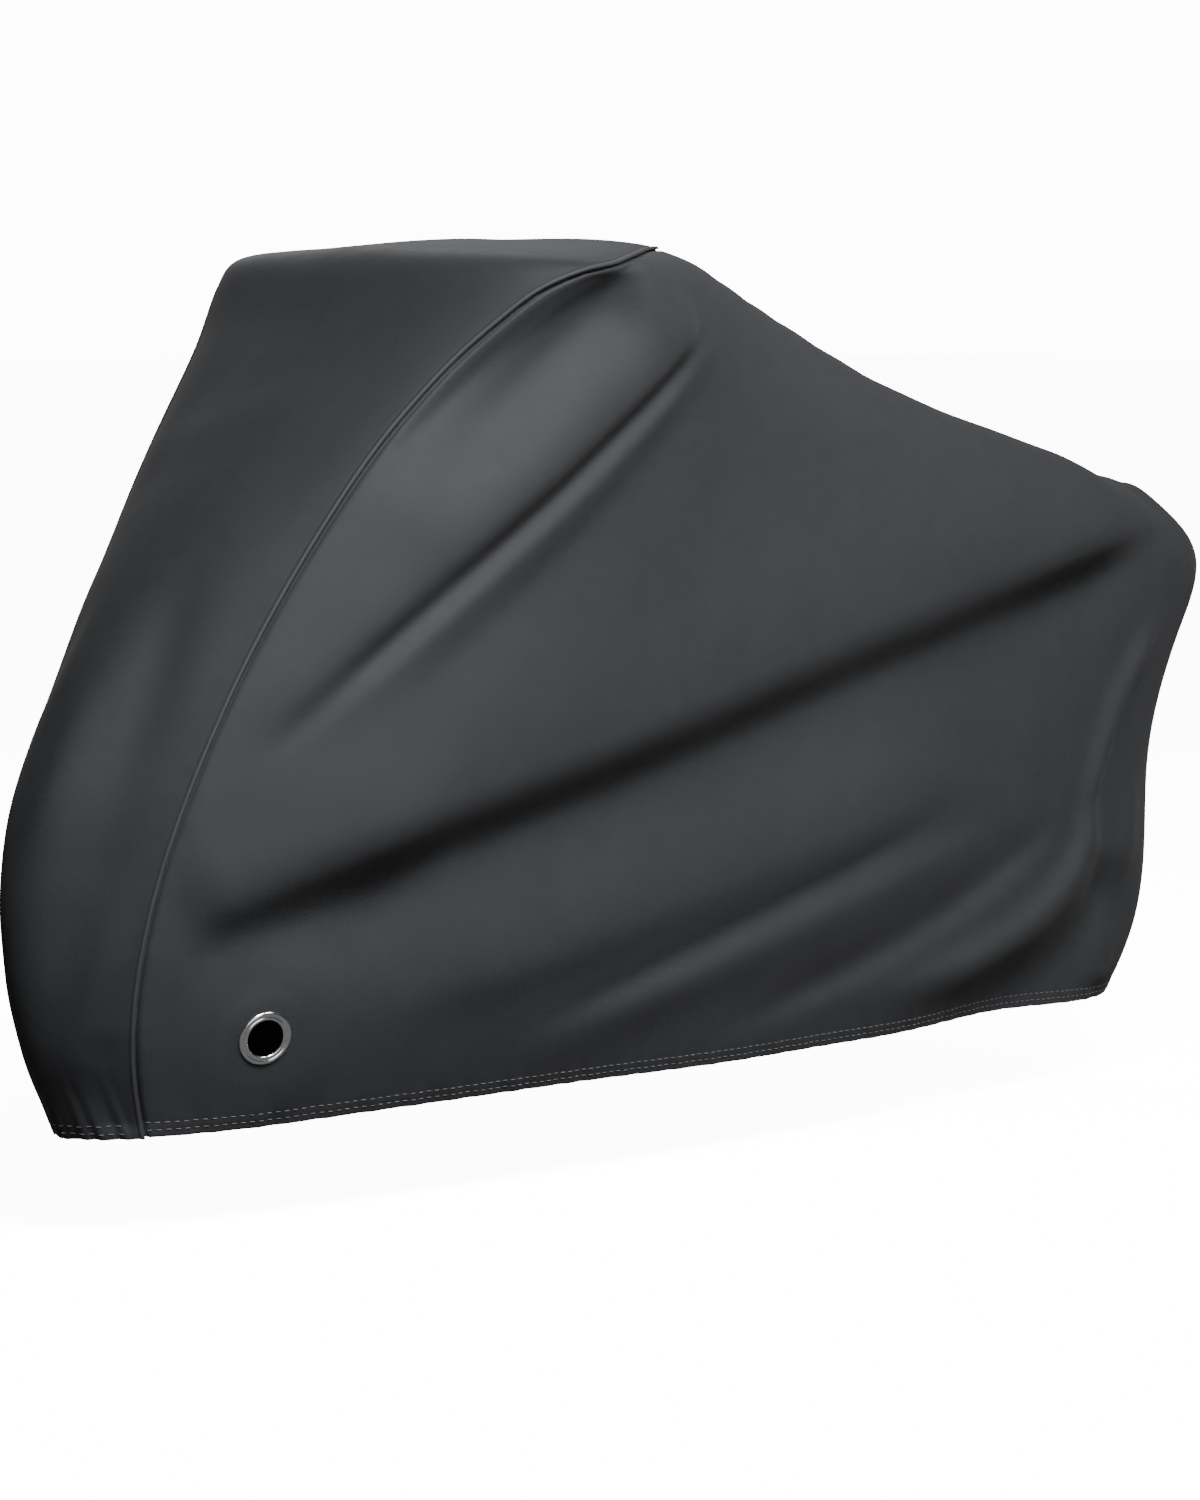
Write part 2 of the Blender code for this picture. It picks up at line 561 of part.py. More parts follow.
def cut_hole(panel, side):
    """Round hole for the eyelet, cut through the cloth."""
    centre, normal = eyelet_frame(side)
    angle = np.linspace(0.0, 2.0 * math.pi, EYELET_SIDES, endpoint=False)
    first = np.cross(normal, np.array((0.0, 0.0, 1.0)))
    first /= np.linalg.norm(first)
    second = np.cross(normal, first)
    ring = CLOTH_HOLE * (np.cos(angle)[:, None] * first + np.sin(angle)[:, None] * second)
    low = centre + ring - normal * CUT_REACH
    high = centre + ring + normal * CUT_REACH
    count = EYELET_SIDES
    faces = [tuple(range(count)), tuple(range(2 * count - 1, count - 1, -1))]
    faces += [(i, i + count, (i + 1) % count + count, (i + 1) % count) for i in range(count)]
    mesh = bpy.data.meshes.new("cutter_" + side)
    points = np.concatenate((low, high)) - np.array(HOLD)
    mesh.from_pydata(points.tolist(), [], faces)
    bm = bmesh.new()
    bm.from_mesh(mesh)
    bmesh.ops.recalc_face_normals(bm, faces=bm.faces)
    bm.to_mesh(mesh)
    bm.free()
    cutter = bpy.data.objects.new("cutter_" + side, mesh)
    bpy.context.scene.collection.objects.link(cutter)
    cutter.hide_render = True
    cutter.display_type = "WIRE"
    cut = panel.modifiers.new("eyelet hole", "BOOLEAN")
    cut.operation = "DIFFERENCE"
    cut.solver = "EXACT"
    cut.object = cutter


def paint(item, colour, rough, metal):
    """Give the object its own material."""
    material = bpy.data.materials.new(item.name)
    material.use_nodes = True
    shader = material.node_tree.nodes["Principled BSDF"]
    shader.inputs["Base Color"].default_value = colour + (1.0,)
    shader.inputs["Roughness"].default_value = rough
    shader.inputs["Metallic"].default_value = metal
    item.data.materials.append(material)


def main():
    """Clear the scene and make the five pieces of the cover."""
    for old in list(bpy.data.objects):
        bpy.data.objects.remove(old, do_unlink=True)
    hood = hood_panel()
    paint(hood, (0.036, 0.038, 0.043), 0.55, 0.0)
    for side in ("left", "right"):
        panel = side_panel(side)
        cut_hole(panel, side)
        paint(panel, (0.045, 0.047, 0.052), 0.55, 0.0)
        centre, normal = eyelet_frame(side)
        ring = turned("eyelet_" + side, EYELET_PROFILE, EYELET_SIDES, centre, normal)
        paint(ring, (0.80, 0.81, 0.83), 0.18, 1.0)


main()
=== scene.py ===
"""Looks of a fitted outdoor cover: cloth panels, lapped seam, hem stitching and eyelets.

Lengths are metres and +Z is up. The cloth is worked out over the ground with X running
from nose to tail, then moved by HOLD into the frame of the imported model.
"""
import math

import bmesh
import bpy
import numpy as np
from bpy.props import FloatProperty, FloatVectorProperty, IntProperty, PointerProperty
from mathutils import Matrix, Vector


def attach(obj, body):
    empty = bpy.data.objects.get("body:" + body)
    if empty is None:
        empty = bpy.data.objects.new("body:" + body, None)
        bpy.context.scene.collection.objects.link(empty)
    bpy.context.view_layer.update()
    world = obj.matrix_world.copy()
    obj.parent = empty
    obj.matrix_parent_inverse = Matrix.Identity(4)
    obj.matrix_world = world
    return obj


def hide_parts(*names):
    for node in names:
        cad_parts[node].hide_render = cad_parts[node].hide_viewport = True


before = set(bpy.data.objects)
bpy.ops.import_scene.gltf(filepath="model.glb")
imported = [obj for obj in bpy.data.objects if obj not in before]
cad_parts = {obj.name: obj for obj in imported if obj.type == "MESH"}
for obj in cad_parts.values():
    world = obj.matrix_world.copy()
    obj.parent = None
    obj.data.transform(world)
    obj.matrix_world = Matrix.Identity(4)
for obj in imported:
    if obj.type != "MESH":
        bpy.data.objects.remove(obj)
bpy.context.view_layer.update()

bl_info = {
    "name": "Fitted cover",
    "version": (1, 0, 0),
    "blender": (4, 5, 0),
    "location": "3D View > Sidebar > Cover",
    "description": "Dresses the solids of a fitted cloth cover with fine sheets, sewing and metal",
    "category": "Object",
}


def table(columns, rows):
    """Rows as one array whose columns go by name."""
    return np.array(list(rows), dtype=[(name, float) for name in columns])


# ---- the cover's own sizes, as in its solids ----
HOLD = np.array((0.270, 0.0, 1.0661))    # the held point, over the ground
GROUND = -float(HOLD[2])                 # height of the ground in the model's frame
CLOTH = 0.0015          # thickness of one layer of cloth in the solids
GAP = 0.0005            # air between two sewn layers
LAP = 0.011             # side panel running on beneath the edge of the hood panel
ALLOWANCE = 0.010       # cloth turned in at the back seam
MIDDLE = 0.0            # the sewn faces of the two sides touch in the middle plane
HOOD_LIFT = GAP + CLOTH                  # outer face of the hood over that of the sides
EYELET_A, EYELET_B = 2.672, 1.034        # place of the eyelet, in posts and levels
FLAT_IN, FLAT_OUT = 0.036, 0.120         # cloth lies flat round an eyelet
CLOTH_HOLE = 0.0245     # radius of the hole in the cloth, under the washers

# ---- how finely the sheets are cut ----
SIDE_ROWS, SIDE_COLS = 118, 262
HOOD_ROWS, HOOD_COLS = 168, 84
EDGE_STEPS = (0.0, 0.0010, 0.0022, 0.0042, 0.0080, 0.0140)     # next to the back seam and the spine
SEAM_STEPS = (0.0, 0.0008, 0.0016, 0.0025, 0.0036, 0.0055, 0.0090, 0.0140)
HEM_STEPS = (0.0, 0.0008, 0.0030, 0.0060, 0.0080, 0.0090, 0.0100, 0.0130, 0.0168, 0.0180,
             0.0192, 0.0212, 0.0228, 0.0260)
TURN_UP = (0.0205, 0.0130, 0.0060, 0.0010)    # rows of the hem's inner layer, from its edge

# Section across the folded edge of the hood: distance from the edge and lift over the side
# panel, from the top layer over the round edge to the layer turned under.
EDGE_PROFILE = table(("inward", "lift"), (
    (0.0096, 0.00200), (0.0084, 0.00196), (0.0074, 0.00186), (0.0066, 0.00180),
    (0.0058, 0.00215), (0.0049, 0.00290), (0.0039, 0.00350), (0.0028, 0.00372),
    (0.0018, 0.00350), (0.0010, 0.00290), (0.0004, 0.00220), (0.0001, 0.00150),
    (0.0003, 0.00095), (0.0010, 0.00060), (0.0040, 0.00050), (0.0090, 0.00050),
))
EDGE_CREST, HIGHLIGHT_BREADTH = 0.0030, 0.0017    # place and breadth of the painted highlight on the crest
HIGHLIGHT_LIFT = 2.3                           # how much brighter the painted highlight makes the crest
EDGE_UNDER = 5                           # so many of the section's last points lie under it
LAP_SHARES = (1.0, 0.7, 0.4, 0.15)       # columns of the lap under the hood, as shares of it
TURN_IN = (0.0015, 0.0045, ALLOWANCE)    # depths of the rows of the turned-in allowance
HEM_DROP = 2.4                           # drop of the hem's inner layer, in thicknesses

# Slight shapes of handled and sewn cloth. Puckers have a reach from the sewn edge, a height
# and a pitch along the edge.
UNEVEN = 0.0014                          # height of the long waves all over
CRUMPLE_SOFT, CRUMPLE_FINE = 0.00055, 0.00020
SIDE_SEAM_PUCKERS = (0.022, 0.00045, 0.034)
SIDE_HEM_PUCKERS = (0.030, 0.00050, 0.047)
HOOD_SEAM_PUCKERS = (0.022, 0.00035, 0.034)
HOOD_HEM_PUCKERS = ((0.034, 0.00060, 0.040), (0.055, 0.00070, 0.023))
SEAM_GROOVE = (0.0036, 0.0012, 0.0030)   # depth, place and breadth beside the hood's edge
BACK_GROOVE = (0.0016, 0.0, 0.0026)      # the same along the seam down the back
HEM_SWELL, SWELL_BREADTH = 0.00035, 0.0034    # cloth swells between the stitch rows
ROW_BREADTH = 0.0016                     # breadth of the dip along each stitch row
STITCH_STEPS, STITCH_SIDES = 8, 6        # cuts of one stitch along and round the thread
STITCH_ARCH = (0.75, 2.4, 5)             # rise, dive at the ends and its power, in radii
CLEAR_OF_SEAM, CLEAR_OF_TAIL = 2, 4      # columns that the stitch rows keep free
SMOOTH_IN, SMOOTH_OUT = 0.032, 0.060     # no slight shapes round an eyelet
HOLE_DEPTH = 0.02                        # reach of the hole on either side of the cloth
EYELET_MEAN = 0.026                      # mean radius of the washers
HOOD_REACH = (0.10, 0.30)                # hood folds die away over this stretch along X

# Fineness of the reckoning.
STEP = 0.01                              # small step in posts or levels
FOLD_CUTS, FOLD_REACH = 24, 3.0          # straight cuts of a fold, reach in its widths
LINE_PLACES, RUN_PLACES = 600, 241       # places on an edge line and on a run between two
SEAM_WINDOW = 30                         # half the smoothing window of the arch seam
SHORT_SHARE = 0.4                        # most that the fixed steps take of a run
MERGE = 0.00001                          # points closer than this become one
WAVE_TURN = 2.0 * math.pi / 20.0         # a wave texture of scale 1 repeats after this

# One row per level, from the hem to the top. level is the height over the ground, and
# nose, crest and tail are distances along X; the drops lower the posts behind the crest;
# the rest are half widths at the posts flank, corner, crest, front, middle, rear and heel.
SECTION_COLUMNS = ("level", "nose", "crest", "tail",
                   "drop_front", "drop_mid", "drop_rear", "drop_tail",
                   "flank", "corner", "crest_w", "front", "middle", "rear", "heel")
SECTIONS = table(SECTION_COLUMNS, (
    (0.110, -0.300, -0.075, 1.436, -0.012, -0.005, -0.008, 0.000,
     0.043, 0.080, 0.113, 0.142, 0.154, 0.129, 0.071),
    (0.208, -0.353, -0.078, 1.501, -0.003, -0.001, -0.002, 0.012,
     0.042, 0.101, 0.154, 0.187, 0.185, 0.150, 0.085),
    (0.324, -0.380, -0.059, 1.509, 0.000, 0.000, 0.000, 0.020,
     0.047, 0.124, 0.181, 0.215, 0.201, 0.158, 0.086),
    (0.434, -0.369, -0.028, 1.508, 0.000, 0.000, 0.000, 0.022,
     0.064, 0.141, 0.199, 0.234, 0.209, 0.159, 0.084),
    (0.533, -0.326, 0.019, 1.541, 0.000, 0.000, 0.009, 0.022,
     0.076, 0.155, 0.221, 0.246, 0.206, 0.155, 0.079),
    (0.643, -0.255, 0.071, 1.596, 0.000, 0.001, 0.018, 0.046,
     0.083, 0.173, 0.241, 0.252, 0.196, 0.149, 0.076),
    (0.760, -0.155, 0.120, 1.622, 0.000, 0.013, 0.038, 0.104,
     0.109, 0.205, 0.266, 0.256, 0.185, 0.135, 0.075),
    (0.881, -0.042, 0.177, 1.602, -0.001, 0.028, 0.091, 0.185,
     0.139, 0.240, 0.290, 0.255, 0.165, 0.110, 0.060),
    (0.965, 0.047, 0.222, 1.558, 0.006, 0.055, 0.141, 0.236,
     0.164, 0.262, 0.308, 0.254, 0.134, 0.079, 0.039),
    (1.039, 0.099, 0.253, 1.503, 0.010, 0.084, 0.210, 0.274,
     0.187, 0.281, 0.320, 0.239, 0.098, 0.047, 0.018),
    (1.061, 0.125, 0.280, 1.463, -0.019, 0.088, 0.235, 0.296,
     0.178, 0.274, 0.291, 0.200, 0.059, 0.023, 0.007),
    (1.066, 0.157, 0.302, 1.439, -0.020, 0.072, 0.235, 0.296,
     0.000, 0.000, 0.000, 0.000, 0.000, 0.000, 0.000),
))
AHEAD = (0.0, 0.10, 0.40, 1.0)            # posts from nose to crest, as shares of that run
BEHIND = (0.14, 0.40, 0.70, 0.95, 1.0)    # posts from crest to tail
POSTS = float(len(AHEAD) + len(BEHIND) - 1)
LEVELS = float(len(SECTIONS) - 1)

# The arch seam: for each level the post it passes, from the hem over the shoulder to the
# middle of the top behind the crest.
SEAM = table(("level", "post"), (
    (0.00, 1.590), (0.64, 1.627), (1.58, 1.711), (2.32, 1.766), (3.19, 1.792),
    (4.26, 1.762), (5.26, 1.710), (6.05, 1.640), (6.85, 1.575), (7.82, 1.640),
    (8.72, 2.000), (9.36, 2.620), (9.68, 3.255), (10.10, 3.964), (11.0, 4.200),
))

# Folds of the side panels, drawn in the side view. x and z are the places of the fold's
# start, middle and end; above and below are the widths of its two flanks; out is its
# height, negative for a trough; fade_a and fade_b are the shares of its length over which
# it dies away.
FOLD_COLUMNS = ("x0", "z0", "x1", "z1", "x2", "z2",
                "above", "below", "out", "fade_a", "fade_b")
LEFT_FOLDS = table(FOLD_COLUMNS, (
    (0.320, 1.017, 0.150, 0.912, 0.000, 0.760, 0.052, 0.042, -0.0200, 0.2, 0.5),
    (0.441, 0.996, 0.150, 0.803, -0.130, 0.570, 0.060, 0.026, 0.0140, 0.1, 0.4),
    (0.457, 0.974, 0.160, 0.773, -0.125, 0.545, 0.018, 0.018, -0.0055, 0.2, 0.3),
    (0.495, 0.973, 0.175, 0.750, -0.115, 0.525, 0.018, 0.020, 0.0045, 0.2, 0.3),
    (0.526, 0.961, 0.215, 0.732, -0.020, 0.550, 0.020, 0.045, -0.0040, 0.3, 0.4),
    (1.430, 0.745, 0.540, 0.580, -0.220, 0.400, 0.150, 0.048, 0.0240, 0.1, 0.2),
    (1.410, 0.672, 0.590, 0.510, -0.225, 0.322, 0.034, 0.110, -0.0190, 0.1, 0.2),
    (1.050, 0.450, 0.510, 0.338, -0.030, 0.240, 0.090, 0.040, 0.0130, 0.3, 0.2),
    (1.080, 0.365, 0.640, 0.268, 0.190, 0.158, 0.020, 0.036, 0.0090, 0.3, 0.3),
    (1.197, 0.361, 0.880, 0.236, 0.500, 0.150, 0.032, 0.018, -0.0100, 0.2, 0.3),
    (1.470, 0.620, 1.310, 0.470, 1.240, 0.310, 0.022, 0.024, 0.0070, 0.3, 0.3),
    (1.262, 0.380, 1.140, 0.240, 0.740, 0.158, 0.022, 0.040, 0.0160, 0.2, 0.3),
    (1.350, 0.310, 1.207, 0.165, 0.820, 0.112, 0.048, 0.060, -0.0205, 0.2, 0.4),
    (1.400, 0.420, 1.350, 0.260, 1.330, 0.120, 0.035, 0.035, 0.0080, 0.3, 0.1),
))
RIGHT_FOLDS = table(FOLD_COLUMNS, (
    (0.390, 0.985, 0.230, 0.905, 0.050, 0.740, 0.060, 0.060, -0.0140, 0.3, 0.5),
    (0.460, 1.000, 0.230, 0.822, -0.060, 0.560, 0.070, 0.032, 0.0160, 0.1, 0.4),
    (0.480, 0.960, 0.240, 0.770, -0.080, 0.500, 0.024, 0.030, -0.0080, 0.2, 0.3),
    (1.420, 0.740, 0.560, 0.604, -0.120, 0.446, 0.150, 0.050, 0.0190, 0.1, 0.2),
    (1.420, 0.665, 0.540, 0.524, -0.140, 0.365, 0.038, 0.120, -0.0180, 0.1, 0.2),
    (1.010, 0.440, 0.420, 0.320, 0.020, 0.230, 0.120, 0.080, 0.0120, 0.3, 0.3),
    (1.080, 0.390, 0.640, 0.250, 0.210, 0.150, 0.040, 0.026, 0.0090, 0.3, 0.4),
    (1.130, 0.340, 0.720, 0.205, 0.360, 0.140, 0.030, 0.028, -0.0070, 0.3, 0.4),
    (1.310, 0.430, 1.090, 0.230, 0.700, 0.150, 0.038, 0.040, 0.0140, 0.3, 0.3),
    (1.345, 0.300, 1.210, 0.155, 0.840, 0.112, 0.060, 0.060, -0.0180, 0.2, 0.4),
    (1.540, 0.640, 1.400, 0.480, 1.270, 0.370, 0.026, 0.032, 0.0060, 0.3, 0.4),
))
FOLDS = {"left": LEFT_FOLDS, "right": RIGHT_FOLDS}

# Folds of the hood panel, drawn in the front view: here x stands for the place along Y,
# which runs to the right hand side.
HOOD_FOLDS = table(FOLD_COLUMNS, (
    (-0.050, 0.800, -0.082, 0.500, -0.034, 0.200, 0.032, 0.034, -0.0060, 0.4, 0.3),
    (-0.092, 0.420, -0.074, 0.290, -0.038, 0.140, 0.026, 0.022, 0.0050, 0.4, 0.2),
    (-0.070, 0.235, -0.062, 0.190, -0.052, 0.112, 0.016, 0.016, -0.0040, 0.4, 0.1),
    (0.044, 0.760, 0.078, 0.520, 0.040, 0.220, 0.030, 0.034, -0.0055, 0.4, 0.3),
    (0.090, 0.400, 0.076, 0.270, 0.046, 0.130, 0.024, 0.024, 0.0045, 0.4, 0.2),
    (-0.170, 0.960, -0.120, 0.860, -0.090, 0.740, 0.045, 0.050, -0.0030, 0.4, 0.4),
    (0.120, 0.965, 0.100, 0.850, 0.060, 0.700, 0.050, 0.045, -0.0035, 0.4, 0.4),
))

# Outer half and inner half of the eyelet's section: radius, and height over the cloth.
EYELET_PROFILE = table(("radius", "height"), (
    (0.0210, -0.0026), (0.0210, -0.0010), (0.0210, 0.0008), (0.0211, 0.0017),
    (0.0216, 0.0025), (0.0224, 0.0030), (0.0233, 0.0031), (0.0242, 0.0028),
    (0.0249, 0.0023), (0.0254, 0.0021), (0.0259, 0.0024), (0.0266, 0.0030),
    (0.0276, 0.0033), (0.0287, 0.0032), (0.0297, 0.0027), (0.0305, 0.0020),
    (0.0310, 0.0011), (0.0309, 0.0004), (0.0303, 0.0002), (0.0260, 0.0002),
    (0.0228, 0.0002), (0.0228, -0.0017), (0.0262, -0.0017), (0.0286, -0.0017),
    (0.0291, -0.0021), (0.0288, -0.0028), (0.0276, -0.0032), (0.0250, -0.0033),
    (0.0222, -0.0034), (0.0213, -0.0032),
))

# Small creases of the near side panel, in the same columns as the folds. One is a deeper
# trough that only the sheet has, under the top of the arch seam.
FINE_FOLDS = {"right": (), "left": table(FOLD_COLUMNS, (
    (0.460, 0.976, 0.165, 0.775, -0.140, 0.532, 0.010, 0.009, -0.0030, 0.2, 0.3),
    (0.490, 0.972, 0.172, 0.756, -0.170, 0.488, 0.008, 0.010, 0.0022, 0.2, 0.4),
    (0.976, 0.391, 0.590, 0.289, 0.167, 0.172, 0.016, 0.012, -0.0045, 0.3, 0.3),
    (0.050, 0.720, -0.050, 0.635, -0.165, 0.530, 0.050, 0.024, 0.0060, 0.4, 0.3),
    (0.050, 0.685, -0.060, 0.600, -0.165, 0.508, 0.016, 0.016, -0.0045, 0.4, 0.3),
    (0.100, 0.450, -0.060, 0.412, -0.240, 0.357, 0.080, 0.034, 0.0120, 0.4, 0.15),
    (0.100, 0.385, -0.060, 0.348, -0.235, 0.298, 0.030, 0.070, -0.0120, 0.4, 0.18),
    (1.440, 0.600, 1.305, 0.460, 1.235, 0.300, 0.020, 0.022, 0.0050, 0.2, 0.2),
    (0.320, 1.022, 0.145, 0.957, -0.030, 0.790, 0.030, 0.075, -0.0190, 0.15, 0.4),
    (1.460, 0.735, 1.250, 0.697, 0.950, 0.638, 0.060, 0.022, 0.0050, 0.15, 0.5),
    (1.460, 0.690, 1.250, 0.650, 0.950, 0.590, 0.022, 0.050, -0.0060, 0.15, 0.5),
))}

# Small creases of the hood panel, in the same columns as its folds.
FINE_HOOD = table(FOLD_COLUMNS, (
    (-0.047, 0.740, -0.084, 0.522, -0.036, 0.250, 0.026, 0.026, -0.0050, 0.3, 0.3),
    (-0.016, 0.640, -0.026, 0.520, -0.014, 0.400, 0.020, 0.020, 0.0035, 0.4, 0.4),
    (-0.104, 0.400, -0.070, 0.267, -0.024, 0.160, 0.020, 0.020, 0.0035, 0.4, 0.3),
))

# Camera: its place, its turn from +X and its tilt downwards in degrees.
CAMERA_AT = (-4.193, -4.515, -0.0161)
CAMERA_TURN, CAMERA_DOWN = 45.5, 5.17

# Floor: its own glow for the camera, and its brightness for the light it throws back.
FLOOR_GLOW = 11.5
FLOOR_GAIN = 5.0
FLOOR_BOUNCE = 0.12
FLOOR_HALF = 40.0                        # half the side of the floor

# Soft boxes: place, the point each one faces, its width and its power in watts.
LIGHT_COLUMNS = ("x", "y", "z", "at_x", "at_y", "at_z", "size", "power")
LIGHTS = table(LIGHT_COLUMNS, (
    (-1.40, -2.80, 2.45, 0.35, 0.0, -0.5, 1.4, 262.0),
    (0.90, -3.30, 2.70, 0.60, 0.0, -0.5, 1.4, 108.0),
    (1.90, 3.10, 2.20, 0.45, 0.0, -0.6, 1.6, 55.0),
))
# Card that lights nothing and shows only in reflections, in the same columns.
CARD = table(LIGHT_COLUMNS, ((-2.10, -4.20, -0.55, -0.40, -0.12, -0.93, 3.0, 60.0),))


# ---- settings that a user would change ----
class CoverClothSettings(bpy.types.PropertyGroup):
    """Cloth of the panels."""
    thickness: FloatProperty(
        name="Thickness", description="Thickness of one layer of cloth", default=0.0006,
        min=0.0002, max=0.0015, precision=5, unit="LENGTH")
    # painted shade: the hood is the same cloth as the sides, given a darker colour because it faces
    # away from the light
    hood_shaded_colour: FloatVectorProperty(
        name="Hood colour with painted shade", description="Colour of the hood panel",
        default=(0.024, 0.0252, 0.0285), size=3, min=0.0, max=1.0, subtype="COLOR")
    side_colour: FloatVectorProperty(
        name="Side colour", description="Colour of the side panels", default=(0.036, 0.0375, 0.041),
        size=3, min=0.0, max=1.0, subtype="COLOR")
    roughness: FloatProperty(
        name="Roughness", description="Roughness of the coated face", default=0.72,
        min=0.0, max=1.0, subtype="FACTOR")
    sheen: FloatProperty(
        name="Sheen", description="Soft sheen of the yarn at grazing angles", default=0.04,
        min=0.0, max=1.0, subtype="FACTOR")
    pitch: FloatProperty(
        name="Weave pitch", description="Distance between the ribs of the weave",
        default=0.003772, min=0.0002, max=0.005, precision=5, unit="LENGTH")


class CoverSewingSettings(bpy.types.PropertyGroup):
    """Thread and stitches of the hem."""
    stitch: FloatProperty(
        name="Stitch", description="Length of one stitch", default=0.0066,
        min=0.001, max=0.02, precision=5, unit="LENGTH")
    space: FloatProperty(
        name="Space", description="Gap between two stitches", default=0.0044,
        min=0.0005, max=0.02, precision=5, unit="LENGTH")
    radius: FloatProperty(
        name="Thread radius", description="Radius of the thread", default=0.00052,
        min=0.0001, max=0.002, precision=5, unit="LENGTH")
    low_row: FloatProperty(
        name="Lower row", description="Height of the lower stitch row over the hem's edge",
        default=0.0090, min=0.002, max=0.020, precision=4, unit="LENGTH")
    high_row: FloatProperty(
        name="Upper row", description="Height of the upper stitch row over the hem's edge",
        default=0.0180, min=0.004, max=0.021, precision=4, unit="LENGTH")
    colour: FloatVectorProperty(
        name="Thread colour", description="Colour of the thread", default=(0.150, 0.152, 0.158),
        size=3, min=0.0, max=1.0, subtype="COLOR")


class CoverEyeletSettings(bpy.types.PropertyGroup):
    """Metal of the eyelets."""
    sides: IntProperty(
        name="Sides", description="Steps round the ring", default=120, min=24, max=256)
    colour: FloatVectorProperty(
        name="Metal colour", description="Colour of the plated metal", default=(0.80, 0.81, 0.83),
        size=3, min=0.0, max=1.0, subtype="COLOR")
    roughness: FloatProperty(
        name="Roughness", description="Roughness of the plating", default=0.14,
        min=0.0, max=1.0, subtype="FACTOR")


class CoverStageSettings(bpy.types.PropertyGroup):
    """Floor, light and camera."""
    floor_colour: FloatVectorProperty(
        name="Floor colour", description="Colour of the plain floor", default=(0.90, 0.90, 0.90),
        size=3, min=0.0, max=1.0, subtype="COLOR")
    light: FloatProperty(
        name="Light", description="Strength of the soft boxes together", default=1.0,
        min=0.0, max=50.0)
    surround: FloatProperty(
        name="Surround", description="Brightness of the surround as the camera sees it",
        default=13.0, min=0.0, max=50.0)
    ambient: FloatProperty(
        name="Ambient", description="Strength of the light from all round", default=0.05,
        min=0.0, max=10.0)
    lens: FloatProperty(
        name="Lens", description="Focal length of the camera", default=0.130,
        min=0.01, max=1.0, unit="CAMERA")


# ---- the smooth surface ----
def control_net():
    """Control posts of half the cover: level by post by (x, half width, z), with one
    mirrored row or column past each edge."""
    level, nose, crest, tail = (SECTIONS[name] for name in ("level", "nose", "crest", "tail"))
    grown = np.zeros((int(LEVELS) + 3, int(POSTS) + 3, 3))
    net = grown[1:-1, 1:-1]
    for post, share in enumerate(AHEAD):
        net[:, post, 0] = nose + (crest - nose) * share
        net[:, post, 2] = level
    for post, share in enumerate(BEHIND):
        drop = SECTIONS[SECTION_COLUMNS[4 + min(post, 3)]]
        net[:, len(AHEAD) + post, 0] = crest + (tail - crest) * share
        net[:, len(AHEAD) + post, 2] = level - drop
    for post, name in enumerate(SECTION_COLUMNS[8:]):
        net[:, 1 + post, 1] = SECTIONS[name]
    flip = np.array((1.0, -1.0, 1.0))
    grown[1:-1, 0] = net[:, 1] * flip
    grown[1:-1, -1] = net[:, -2] * flip
    grown[0] = 2.0 * grown[1] - grown[2]
    grown[-1] = grown[-3] * flip
    return grown


NET = control_net()


def spline_weights(place, count):
    """Uniform cubic B-spline weights of each place over count + 1 controls."""
    cell = np.clip(np.floor(place).astype(int), 0, count - 1)
    f = place - cell
    weights = np.zeros((place.size, count + 3))
    rows = np.arange(place.size)
    weights[rows, cell] = (1.0 - f) ** 3 / 6.0
    weights[rows, cell + 1] = (3.0 * f ** 3 - 6.0 * f ** 2 + 4.0) / 6.0
    weights[rows, cell + 2] = (-3.0 * f ** 3 + 3.0 * f ** 2 + 3.0 * f + 1.0) / 6.0
    weights[rows, cell + 3] = f ** 3 / 6.0
    return weights


def on_surface(post, level):
    """Points of the left half: the sum of the control posts, each times its spline weight
    along the posts and its spline weight along the levels."""
    shape = np.shape(post)
    across = spline_weights(np.ravel(post), int(POSTS))
    upward = spline_weights(np.ravel(level), int(LEVELS))
    part_sum = np.einsum("nr,rcd->ncd", upward, NET)
    points = np.einsum("ncd,nc->nd", part_sum, across)
    points[:, 1] *= -1.0
    return points.reshape(shape + (3,))


def unit(vectors):
    """Vectors divided by their lengths."""
    return vectors / np.linalg.norm(vectors, axis=-1, keepdims=True)


def surface_normals(post, level):
    """Outward unit normals: the cross product of the two small steps on the surface."""
    a = np.clip(post, 2.0 * STEP, POSTS - 2.0 * STEP)
    b = np.clip(level, 2.0 * STEP, LEVELS - 2.0 * STEP)
    along = on_surface(a + STEP, b) - on_surface(a - STEP, b)
    upward = on_surface(a, b + STEP) - on_surface(a, b - STEP)
    normal = unit(np.cross(along, upward))
    edge = (post <= 1e-6) | (post >= POSTS - 1e-6) | (level >= LEVELS - 1e-6)
    normal[..., 1] = np.where(edge, 0.0, normal[..., 1])
    return unit(normal)


# ---- folds ----
def smooth(value, low, high):
    """0 below low, 1 above high, and 3 t squared less 2 t cubed between them."""
    t = np.clip((value - low) / (high - low), 0.0, 1.0)
    return t * t * (3.0 - 2.0 * t)


